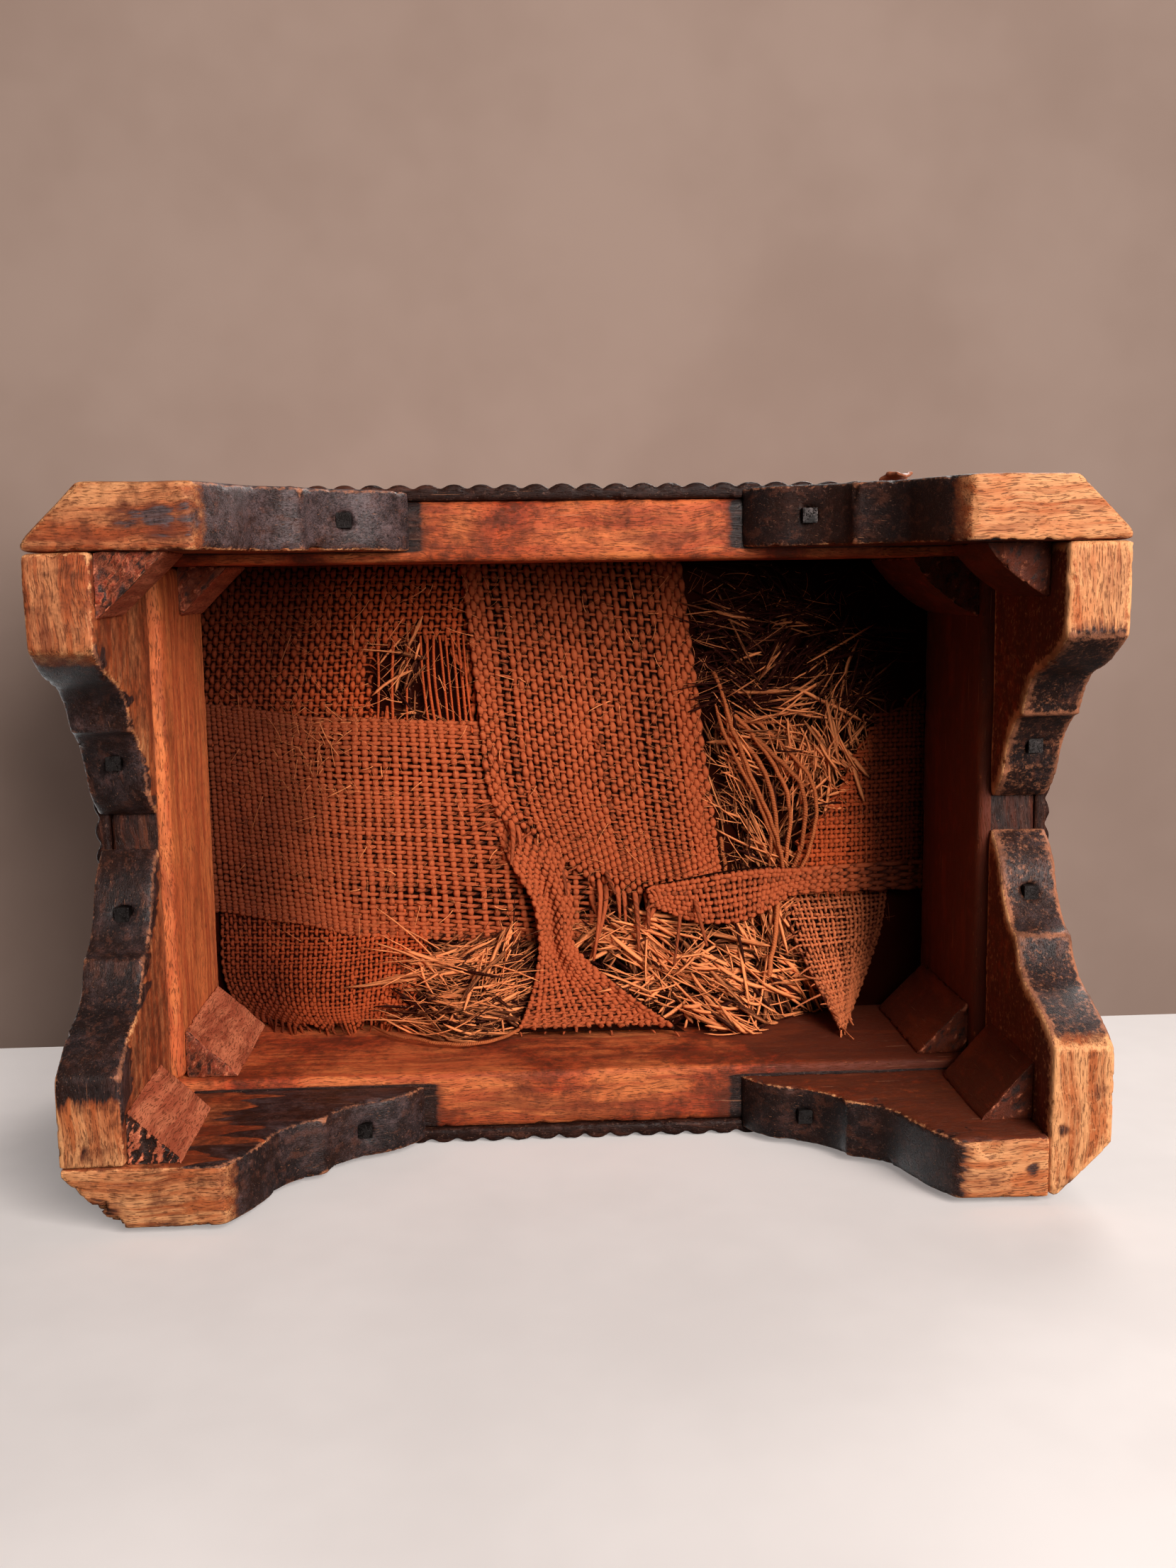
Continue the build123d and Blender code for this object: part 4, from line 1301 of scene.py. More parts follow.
@dataclass
class TornWebbing:
    """The three torn straps of jute webbing and the twisted tail that hangs from the cross strap."""

    yarn: FibreFinish = FibreFinish("jute_yarn", (184, 88, 50), (26, 6, 2), (208, 128, 84))
    # The ground's near-black colours are painted shade: they show as the dark gaps between the yarns.
    ground: FibreFinish = FibreFinish(
        "jute_ground", (34, 8, 2), (14, 3, 1), (44, 13, 4), twist=0.2, relief=0.12, specular=0.03)
    cross_low: Path = ((-39.6, -98.5), (-38.6, -82), (-36.6, -61.6), (-34.8, -41.5), (-33.3, -24),
                       (-31, -3.6),
                       (-26.5, 11), (-23, 24), (-20, 42))
    cross_high: Path = ((38.5, -98.5), (41.2, -78), (44.2, -52), (47.4, -28), (50, -6), (52.6, 12),
                        (54.6, 26),
                        (55.6, 34), (56.2, 42))
    cross_torn: Path = ((0, 8), (0.08, 12), (0.17, 16), (0.26, 25), (0.36, 33), (0.5, 37.5), (0.66, 39),
                        (0.82, 37),
                        (0.93, 31), (1, 33))
    long_low: Path = ((-147.6, -34), (-131, -34.6), (-113.8, -32.6), (-94, -29.8), (-65, -29),
                      (-35, -27.4), (14, -25))
    long_high: Path = ((-147.6, 45), (-131, 42.6), (-114, 45), (-97, 47.4), (-80, 51.2), (-55, 53.4),
                       (-20, 56), (14, 58))
    stub_low: Path = ((26, 34.5), (40, 31.5), (56, 28.6), (72, 27.6), (84, 28.6), (104, 28.6), (146.6, 29))
    stub_high: Path = ((28.5, 41.5), (44, 47.4), (58, 48.4), (70, 45), (82, 38.6), (104, 38.6), (146.6, 40))
    tail_low: Path = ((-31, 9, 126), (-23, 25, 121), (-15.6, 38, 119), (-13.2, 52, 117), (-14.6, 63, 114),
                      (-17.4, 72, 110), (-20.5, 78.6, 105), (-22.5, 82.2, 100))
    tail_high: Path = ((-6, 14, 126), (-3, 27, 121), (-0.5, 42, 119), (-0.8, 55, 117), (6, 62, 114),
                       (17, 69.6, 111), (29, 77.4, 105.5), (38, 82.2, 98))

    def cross(self) -> None:
        """The cross strap: its base cloth and its yarns."""
        surface = between(self.cross_low, self.cross_high, lambda x, y: Underside.strap(x, y, 0))
        shares, ends = np.array(self.cross_torn).T

        def torn(slack: float) -> Keep:
            """Keeps what lies before the tear, less some slack."""
            return lambda s, t, x, y: y < np.interp(s, shares, ends) - slack

        strands = Strands()
        Weave(surface, warps=36, wefts=62, warp_half=1.0, weft_half=0.5, warp_lift=0.72, weft_lift=0.1,
              seed=1, warp_steps=4,
              open_lines=(0.13, 0.72), open_extra=0.45, bead=0.16, selvage=0.22,
              fray=12.0, fall=(0.0, 0.55, -0.12),
              keep_warp=torn(0.5), keep_weft=torn(6.0)).weave_into(strands)
        yarns = settle(strands.build("cross_webbing_yarns"), "jute_webbing", self.material)
        base = ClothBase("cross_webbing_ground", "jute_webbing", ("cross_webbing",),
                         surface, columns=60, rows=100, keep=torn(3.5))
        base.build(self.ground_material, "stretched", ("front_rail",), (yarns,))

    def long(self) -> None:
        """The long strap, torn off under the cross strap."""
        surface = between(self.long_low, self.long_high, lambda x, y: Underside.strap(x, y, 1))

        def torn(slack: float) -> Keep:
            """Keeps what lies before the tear, less some slack."""
            return lambda s, t, x, y: x < 11 - slack - 5 * np.sin(17 * s) * np.abs(np.sin(29 * s))

        strands = Strands()
        Weave(surface, warps=47, wefts=50, warp_half=0.68, weft_half=1.0, warp_lift=0.7, weft_lift=0.56,
              seed=2, weft_steps=4, bead=0.22, selvage=0.3,
              open_lines=(0.2, 0.24, 0.78, 0.83), open_extra=0.35, fray=5.0,
              keep_warp=torn(0), keep_weft=torn(2.5)).weave_into(strands)
        yarns = settle(strands.build("long_webbing_yarns"), "jute_webbing", self.material)
        base = ClothBase("long_webbing_ground", "jute_webbing", ("long_webbing",),
                         surface, columns=60, rows=100, keep=torn(3.5))
        base.build(self.ground_material, "stretched", ("left_rail",), (yarns,))

    def stub(self) -> None:
        """The narrow torn end of the long strap at the right rail."""
        surface = between(self.stub_low, self.stub_high,
                          lambda x, y: Underside.strap(x, y, 0) - 2.0 - 3.6 * np.exp(-((x - 52) / 30) ** 2))
        strands = Strands()
        Weave(surface, warps=8, wefts=46, warp_half=0.86, weft_half=0.72, warp_lift=0.6, weft_lift=0.4,
              seed=3, warp_steps=3, fray=6.0, wobble=0.4,
              keep_warp=lambda s, t, x, y: x > 27 + 3 * np.sin(23 * s),
              keep_weft=lambda s, t, x, y: x > 30).weave_into(strands)
        yarns = settle(strands.build("torn_webbing_yarns"), "jute_webbing", self.material)
        base = ClothBase("torn_webbing_ground", "jute_webbing", ("torn_webbing",), surface, columns=20,
                         rows=90)
        base.build(self.ground_material, "stretched", ("right_rail",), (yarns,))

    def tail(self) -> None:
        """The strip torn from the cross strap, bunched at its waist and spread at its foot."""
        edge = between(self.tail_low, self.tail_high)

        def surface(s: np.ndarray, t: np.ndarray) -> np.ndarray:
            """The strip, pleated at its waist and rolled at its edge."""
            placed = edge(s, t)
            pleat = np.sin(s * 3.1 * np.pi + 0.6) * 2.0 * np.exp(-((t - 0.42) / 0.26) ** 2)
            roll = 3.4 * np.exp(-((s - 1.0) / 0.1) ** 2) * span(t, 0.5, 0.75)
            placed[:, 2] -= pleat + roll
            return placed

        strands = Strands()
        Weave(surface, warps=15, wefts=46, warp_half=0.8, weft_half=0.56, warp_lift=0.6, weft_lift=0.3,
              seed=4, warp_steps=4, bead=0.18, fray=1.4, wobble=0.4,
              keep_warp=lambda s, t, x, y: (t > 0.03) & (t < 0.97),
              keep_weft=lambda s, t, x, y: (t > 0.07) & (t < 0.95)).weave_into(strands)
        yarns = settle(strands.build("hanging_strip_yarns"), "jute_webbing", self.material)
        base = ClothBase("hanging_strip_ground", "jute_webbing", (), surface, columns=26, rows=70, back=0.55)
        base.build(self.ground_material, "hung", ("cross_webbing",), (yarns,))

    def build(self) -> None:
        """Makes the straps and the tail."""
        self.material, self.ground_material = self.yarn.material(), self.ground.material()
        for part in (self.cross, self.long, self.stub, self.tail):
            part()


@dataclass
class TornHessian:
    """The base cloth, torn into a left and a right part, with its yarns where it shows."""

    yarn: FibreFinish = FibreFinish("hessian_yarn", (194, 84, 42), (32, 7, 2), (206, 116, 70))
    # Painted light: the flap's yarn is a paler copy of the hessian yarn for the lit flap.
    flap_yarn: FibreFinish = FibreFinish("flap_yarn", (228, 126, 78), (70, 20, 8), (244, 166, 116))
    # The grounds' near-black colours are painted shade, showing as the dark gaps between the yarns; the
    # flap's is darker still.
    ground: FibreFinish = FibreFinish(
        "hessian_ground", (46, 10, 2), (20, 4, 1), (58, 18, 6), twist=0.2, relief=0.12, specular=0.03)
    flap_ground: FibreFinish = FibreFinish(
        "flap_ground", (30, 8, 3), (12, 3, 1), (36, 12, 5), twist=0.2, relief=0.12, specular=0.03)
    hole: Path = ((-73, -50), (-66, -56), (-57, -60), (-46, -58), (-38, -46), (-36, -26), (-56, -26),
                  (-73, -32))
    upper_torn: Path = ((134, -33), (128.6, -32), (123, -27), (115, -29), (109.5, -14), (104, -8),
                        (98, 5), (90, 14),
                        (83, 25), (82, 34), (134, 34))

    bare_at: tuple[float, ...] = (
        -69.5, -63.5, -58.6, -54.0, -51.6, -49.3, -47.2, -45.0, -42.8, -40.6, -38.6)

    def left_upper(self, strands: Strands) -> Surface:
        """Cloth at the front left, with its hole crossed by bare yarns."""
        surface = between(((-143, -97, 0), (-163, 60, 0)), ((-20, -97, 0), (-40, 60, 0)),
                          lambda x, y: Underside.strap(x, y, 2))

        def seen(s: np.ndarray, t: np.ndarray, x: np.ndarray, y: np.ndarray) -> np.ndarray:
            """Keeps what shows between the rails and the straps, without the hole."""
            return (x > -134) & (x < -33) & (y > -87) & (y < -22) & ~inside(self.hole, x, y)

        Weave(surface, warps=60, wefts=66, warp_half=0.78, weft_half=0.4, warp_lift=0.62, weft_lift=0.04,
              seed=5, sides=5, warp_steps=4, wobble=0.4,
              fray=2.5, bead=0.3, keep_warp=seen, keep_weft=seen).weave_into(strands)
        self.bare_yarns(strands)
        return surface

    def bare_yarns(self, strands: Strands) -> None:
        """Straight yarns left bare across the hole, close together at its right."""
        chance = np.random.default_rng(27)
        down = np.linspace(0, 1, 12)
        for number, start in enumerate(self.bare_at):
            bow = chance.normal(0, 0.5) * np.sin(np.pi * down)
            x = start + (2.6 if number > 2 else -1.2) * down + bow
            y = -59 + 35 * down
            z = Underside.strap(x, y, 2) - 0.7 - 0.9 * np.sin(np.pi * down)
            wide = chance.uniform(0.42, 0.62)
            strands.add(np.column_stack([x, y, z]), wide, wide, chance.uniform(0.7, 1.1), 5)

    def left_lower(self, strands: Strands) -> Surface:
        """Cloth at the back left, bellied out by the straw, with a frayed edge against the rail."""
        low = ((-132.2, 38, 0), (-132.0, 55, 0), (-131.4, 68, 0), (-126, 78, 0), (-115, 83.2, 0))
        high = ((-52, 40, 0), (-54, 52, 0), (-55.5, 63, 0), (-59, 75, 0), (-63, 83.4, 0))
        surface = between(low, high, lambda x, y: Underside.strap(x, y, 2) - 1.0 - Underside.belly(x, y))
        Weave(surface, warps=44, wefts=30, warp_half=0.66, weft_half=0.5, warp_lift=0.5, weft_lift=0.2,
              seed=6, sides=5, warp_steps=4, wobble=0.4, fray=3.5,
              keep_warp=lambda s, t, x, y: t < 0.93 + 0.06 * np.sin(s * 31),
              keep_weft=lambda s, t, x, y: (t < 0.9) & (s < 0.97 + 0.03 * np.sin(t * 40))).weave_into(strands)
        return surface

    def right_upper(self, strands: Strands) -> Surface:
        """Cloth at the right, torn on a slant above the narrow strap."""
        surface = between(((80, -36, 0), (80, 40, 0)), ((134, -36, 0), (134, 40, 0)),
                          lambda x, y: Underside.strap(x, y, 2) - 1.6 - 3.4 * np.exp(-((x - 96) / 22) ** 2))

        def keep(s: np.ndarray, t: np.ndarray, x: np.ndarray, y: np.ndarray) -> np.ndarray:
            """Keeps what the tear has left."""
            return inside(self.upper_torn, x, y)

        Weave(surface, warps=28, wefts=46, warp_half=0.52, weft_half=0.74, warp_lift=0.32, weft_lift=0.48,
              seed=7, sides=5, wobble=0.4, fray=5.0,
              keep_warp=keep, keep_weft=keep).weave_into(strands)
        return surface

    def right_lower(self, strands: Strands) -> Surface:
        """The flap that hangs out over the straw at the back right."""
        low = ((75, 36, 129), (79, 46, 125), (82, 56, 119), (86, 66, 111), (90, 75, 102), (93, 82, 90))
        high = ((121, 37, 134), (120, 46, 134), (118, 56, 133), (114, 66, 131), (108, 76, 124),
                (97, 82.8, 100))
        edge = between(low, high)

        def surface(s: np.ndarray, t: np.ndarray) -> np.ndarray:
            """The flap turns away from the eye towards its right edge."""
            placed = edge(s, t)
            placed[:, 2] -= 5.0 * np.sin(np.pi * np.clip(s, 0, 1)) * span(t, 0, 0.3) * span(t, 1.05, 0.6)
            return placed

        Weave(surface, warps=22, wefts=29, warp_half=0.56, weft_half=0.52, warp_lift=0.46, weft_lift=0.4,
              seed=8, sides=5, wobble=0.4, fray=6.0, shade=0.5,
              keep_warp=lambda s, t, x, y: t < 0.97 + 0.03 * np.sin(s * 37),
              keep_weft=lambda s, t, x, y: s > 0.05 + 0.05 * np.sin(t * 43)).weave_into(strands)
        return surface

    def build(self) -> None:
        """Makes both parts of the cloth."""
        yarn, ground, pale_yarn = self.yarn.material(), self.ground.material(), self.flap_yarn.material()
        dark_ground = self.flap_ground.material()
        left, right, flap, lower = Strands(), Strands(), Strands(), Strands()
        surfaces = [self.left_upper(left), self.left_lower(lower),
                    self.right_upper(right), self.right_lower(flap)]
        left_yarns = settle(left.build("base_cloth_left_yarns"), "hessian", yarn)
        lower_yarns = settle(lower.build("base_cloth_belly_yarns"), "hessian", yarn)
        right_yarns = settle(right.build("base_cloth_right_yarns"), "hessian", yarn)
        flap_yarns = settle(flap.build("base_cloth_flap_yarns"), "hessian", pale_yarn)
        frame_rails = ("front_rail", "left_rail")
        ClothBase("base_cloth_left_ground", "hessian", ("base_cloth_left",), surfaces[0],
                  columns=90, rows=100, keep=lambda s, t, x, y: ~inside(self.hole, x, y) & (x > -146),
                  back=0.6
                  ).build(ground, "stretched", frame_rails, (left_yarns,))
        ClothBase("base_cloth_belly_ground", "hessian", (), surfaces[1],
                  columns=40, rows=34, keep=lambda s, t, x, y: t < 0.92, back=0.6
                  ).build(ground, "stretched", frame_rails, (lower_yarns,))
        ClothBase("base_cloth_right_ground", "hessian", ("base_cloth_right",), surfaces[2],
                  columns=40, rows=50, keep=lambda s, t, x, y: inside(self.upper_torn, x, y), back=0.6
                  ).build(ground, "stretched", ("right_rail",), (right_yarns,))
        ClothBase("base_cloth_flap_ground", "hessian", (), surfaces[3],
                  columns=34, rows=40, keep=lambda s, t, x, y: (s > 0.06) & (t < 0.96), back=0.5
                  ).build(dark_ground, "hung", ("right_rail",), (flap_yarns,))


@dataclass(frozen=True)
class StrawField:
    """A torn place on the plan that loose blades cover.

    The blades stand proud of the heap by stand and lie at the angle lean, give or take spread. Half is half
    their usual width, and tone makes them lighter.
    """

    name: str
    outline: Path
    count: int
    length: float
    stand: float
    lean: float
    spread: float
    half: float
    tone: float


@dataclass
class StrawStuffing:
    """The straw pad: a matted bed and thousands of loose blades where the cloth is torn."""

    blade: FibreFinish = FibreFinish(
        "straw_blade", (252, 150, 92), (50, 11, 3), (255, 176, 122), twist=0.05, relief=0.05, specular=0.12)
    # The mat's near-black colours are painted shade for the deep gaps between the blades.
    mat: FibreFinish = FibreFinish(
        "straw_mat", (50, 12, 3), (12, 2, 1), (70, 24, 8), twist=0.1, relief=0.5, specular=0.03)
    fields: tuple[StrawField, ...] = (
        StrawField("hole", ((-74, -50), (-66, -57), (-48, -59), (-38, -45), (-36, -28), (-54, -27),
                            (-74, -32)),
                   count=150, length=12, stand=-1.2, lean=0.9, spread=1.3, half=0.26, tone=-0.35),
        # The top right field's low tone is painted shade.
        StrawField("right_top", ((44, -82), (90, -80), (114, -66), (121, -44), (112, -30), (46, -30)),
                   count=680, length=18, stand=0.0, lean=-0.15, spread=0.8, half=0.28, tone=-1.25),
        StrawField("right", ((48, -34), (112, -34), (108, -12), (98, 6), (90, 22), (78, 30), (58, 30),
                             (52, -6)),
                   count=640, length=14, stand=0.4, lean=0.9, spread=1.2, half=0.32, tone=-0.05),
        StrawField("heap", ((-2, 48), (18, 42), (50, 44), (76, 40), (84, 58), (94, 72), (98, 82.5),
                            (26, 82.5), (6, 72)),
                   count=950, length=14, stand=1.2, lean=0.8, spread=1.2, half=0.5, tone=-0.2),
        StrawField("corner", ((-60, 54), (-10, 55), (-8, 66), (-14, 78), (-18, 82.5), (-68, 82.5),
                              (-62, 70)),
                   count=900, length=18, stand=0.6, lean=-0.35, spread=0.5, half=0.34, tone=-0.35),
    )
    tail_outline: Path = ((-24, 26), (-2, 28), (0, 54), (16, 67), (38, 84), (-26, 84), (-15, 62), (-16, 40))
    bed_cell: float = 2.6
    tucked_in: float = 2.2

    def bed(self) -> bpy.types.Object:
        """The matted pad, bulging where the cloth no longer holds it."""
        obj = evened_copy("straw_stuffing", "straw_bed", self.bed_cell)
        points, normals = read_points(obj), read_normals(obj)
        x, y, z = points.T
        below = (normals[:, 2] < -0.5) & (np.abs(x) < 131.4) & (np.abs(y) < 83.2)
        edge = span(131.5 - np.abs(x), 0, 4) * span(83.6 - np.abs(y), 0, 1.2)
        low = Underside.strap(x, y, 2) + 1.6 - (Underside.belly(x, y) - 5.0).clip(0) * edge
        low = low + (lattice_noise(points / 7, 21, 3) - 0.5) * 3.0 * edge
        points[below, 2] = np.minimum(points[below, 2], low[below])
        points -= normals * (self.tucked_in * span(z, 131, 137))[:, None]
        write_points(obj, points)
        mark(obj, "tone", lattice_noise(points / 9, 22, 2))
        mark(obj, "soil", Underside.soil(points))
        settle(obj, "straw", self.mat.material(), "straw_stuffing")
        return obj

    def blades(self, material: bpy.types.Material) -> list[bpy.types.Object]:
        """Loose blades over each torn field, in tufts that lie every way."""
        made = []
        for number, torn in enumerate(self.fields):
            chance = np.random.default_rng(50 + number)
            strands = Strands()
            low, high = np.min(torn.outline, 0), np.max(torn.outline, 0)
            left = torn.count
            while left > 0:
                place = chance.uniform(low, high)
                if not inside(torn.outline, place[:1], place[1:])[0]:
                    continue
                swirl = lattice_noise(np.array([[place[0] / 26, place[1] / 26, number]]), 77, 2)[0] - 0.5
                turn = torn.lean + 2.2 * torn.spread * swirl * 2 + chance.normal(0, torn.spread * 0.5)
                depth = chance.uniform(-5.0, 4.2) + torn.stand
                if inside(self.tail_outline, place[:1], place[1:])[0]:
                    depth = min(depth, -2.5)
                if torn.name == "hole" and place[0] > -54:
                    depth = min(depth, -2.8)
                fine = torn.half * chance.uniform(0.7, 1.3)
                for _ in range(int(chance.integers(3, 13))):
                    left -= 1
                    self.blade_at(strands, place + chance.normal(0, 2.6, 2),
                                  torn.length * chance.lognormal(0, 0.4), turn + chance.normal(0, 0.26),
                                  depth + chance.normal(0, 0.9), fine, torn.tone, chance)
            made.append(settle(strands.build(f"straw_{torn.name}"), "straw", material))
        return made

    def blade_at(self, strands: Strands, place: np.ndarray, reach: float, turn: float, depth: float,
                 half: float, tone: float, chance: np.random.Generator) -> None:
        """One blade lying on the heap.

        Args:
            strands: the bundle.
            place: its middle on the plan.
            reach: its length.
            turn: its direction on the plan.
            depth: how far it stands out of the heap.
            half: half the usual width of the blades of its tuft.
            tone: how much lighter than usual it is.
            chance: the seeded random numbers.
        """
        share = np.linspace(-0.5, 0.5, 7)
        ahead = np.array([math.cos(turn), math.sin(turn)])
        aside = np.array([-ahead[1], ahead[0]])
        bow = chance.normal(0, 0.06) * reach
        kink = chance.normal(0, 0.05) * reach * (share > chance.uniform(-0.3, 0.4))
        bent = np.outer(bow * (share ** 2 - 0.1) * 2 + kink * share, aside)
        plan = place + np.outer(share * reach, ahead) + bent
        plan[:, 0] = np.clip(plan[:, 0], -131.4, 131.4)
        plan[:, 1] = np.clip(plan[:, 1], -83.4, 83.3)
        rest = 135.0 - Underside.sag(*plan.T) - Underside.belly(*plan.T)
        tilt = chance.normal(0, 0.22) * reach
        z = rest - depth + share * tilt - chance.uniform(0, 0.12) * reach * (0.25 - share ** 2)
        wide = float(np.clip(half * chance.lognormal(0, 0.55), 0.12, 0.95))
        taper = np.clip(1.2 - np.abs(share * 2) ** 3 * 0.9, 0.3, 1)
        up = chance.normal(0, 0.45, 3) + np.array([0, 0, 1.0])
        # Painted shade: blades that lie deeper in the heap are darker.
        tones = tone + 0.22 + 0.18 * depth + chance.normal(0, 0.58)
        tones = tones + 0.25 * (share + 0.5) * chance.normal(0, 1)
        strands.add(np.column_stack([plan, z]), wide * taper, 0.12 * taper, np.clip(tones, -0.5, 1.6), 4, up)

    def litter(self, material: bpy.types.Material) -> bpy.types.Object:
        """Short bits and fine hairs scattered over the webbing and the cloth."""
        chance = np.random.default_rng(91)
        strands = Strands()
        for number in range(1500):
            thin = number > 120
            place = chance.uniform((-128, -80), (120, 56))
            if chance.random() < (0.06 if thin else 0.35):
                place = chance.normal((-95, -20), (12, 18) if thin else (8, 10))
            turn = chance.uniform(0, 2 * np.pi)
            reach = chance.uniform(2, 9) if thin else chance.lognormal(1.8, 0.45)
            share = np.linspace(-0.5, 0.5, 5)
            ahead = np.array([math.cos(turn), math.sin(turn)])
            bow = chance.normal(0, 0.2) * reach * (share ** 2)
            plan = place + np.outer(share * reach, ahead) + np.outer(bow, (-ahead[1], ahead[0]))
            plan = np.clip(plan, (-130, -82), (130, 82))
            z = Underside.strap(*plan.T, 0) - chance.uniform(0.9, 1.5)
            z = z - chance.uniform(0, 0.2) * reach * (share + 0.5) ** 2
            wide = 0.06 if thin else chance.uniform(0.14, 0.26)
            strands.add(np.column_stack([plan, z]), wide, wide * (1 if thin else 0.6),
                        float(chance.uniform(0.7, 1.3)), 3)
        return settle(strands.build("webbing_litter"), "straw", material)

    def build(self) -> None:
        """Makes the bed, the blades and the litter."""
        self.bed()
        material = self.blade.material()
        self.blades(material)
        self.litter(material)


@dataclass
class LooseYarns:
    """Single twisted yarns that have come out of the webbing."""

    finish: FibreFinish = FibreFinish(
        "loose_yarn", (206, 110, 62), (52, 15, 5), (222, 144, 92), twist=0.9, relief=0.24)
    half: float = 0.82
    runs: tuple[Path, ...] = (
        ((56, -30, 124), (61, -27, 121), (69.5, -16.5, 118), (75.6, -6.6, 117), (79.4, 3.3, 118),
        (80, 13.2, 119),
         (78.9, 23, 120), (78, 31, 122)),
        ((58, -26, 124), (64.6, -22.7, 120), (73.2, -14, 117), (81.2, -6.5, 116), (85, 3.4, 117),
        (85, 13.3, 118),
         (83, 24.5, 120), (80, 31, 122)),
        ((60, -30, 124), (67, -26.3, 120), (78, -16.4, 117), (85.5, -7.7, 116), (89, 1, 117),
        (89.3, 10.9, 118),
         (85.7, 25.8, 120), (82, 32, 122)),
        ((57, -28, 124), (60.9, -26.4, 122), (70.7, -25.7, 119), (78, -26.1, 118), (83, -21.2, 119),
        (86, -12, 121)),
        ((55, -22, 124), (64, -17, 121), (71, -6, 119), (74, 6, 119), (75, 18, 120), (74, 31, 122)),
        ((52, -44, 124), (53.6, -41, 121), (59.7, -19.2, 117), (65.8, -1.9, 116), (70.8, 10.5, 117),
        (79.5, 29.4, 120)),
        ((52.4, -32.7, 121), (57.3, -18, 118), (64.6, -3.2, 116), (72, 10.6, 117), (72.7, 30.5, 121)),
        ((54.6, -38, 120), (58.3, -24, 117), (65.6, -4.8, 115), (71.4, 8, 116), (76.4, 22, 118),
        (78, 33, 121)),
        ((78, 31, 126), (76, 42, 121), (74, 52, 115), (71, 62, 108), (70, 66, 106)),
        ((53.6, 6, 129), (55.6, 18, 128.6), (57, 28, 128), (57.6, 36, 127), (59.6, 41, 126)),
        ((-75, 82, 112), (-66, 82.3, 101), (-54, 82.4, 93), (-43, 82.4, 89), (-31, 82.2, 91),
        (-22, 81.6, 101),
         (-15, 80, 112)),
        ((-28, 14, 128), (-20, 17, 126), (-13, 22, 125), (-8, 19, 126)),
        ((-25, 12, 128), (-31, 18, 126), (-27, 24, 125), (-17, 27, 124)),
        ((-52, 55, 131), (-50, 64, 124), (-44, 72, 114), (-47, 80, 104)),
        ((-44, 54, 131), (-40, 63, 123), (-42, 71, 113), (-52, 79, 106)),
        ((-20, 56, 130), (-26, 63, 124), (-30, 60, 121), (-36, 66, 118)),
        ((10, 54, 126), (24, 62, 117), (40, 66, 110), (58, 70, 104)),
        ((-88, 45, 131), (-84, 52, 128), (-90, 58, 126), (-96, 56, 126)),
    )

    def build(self) -> bpy.types.Object:
        """Makes the yarns as one piece."""
        chance = np.random.default_rng(7)
        strands = Strands()
        for run in self.runs:
            path = smooth_path(run, 10 * len(run))
            path = path + (np.stack([lattice_noise(path / 4, 60 + k) for k in range(3)], 1) - 0.5) * 0.9
            share = np.linspace(0, 1, len(path))
            taper = np.clip(1.15 - np.abs(2 * share - 1) ** 6 * 0.7, 0.3, 1)
            width = self.half * chance.uniform(0.75, 1.15) * taper
            strands.add(path, width, width, float(chance.uniform(0.4, 0.8)), 6)
        return settle(strands.build("loose_yarns"), "jute_webbing", self.finish.material())


# Seat

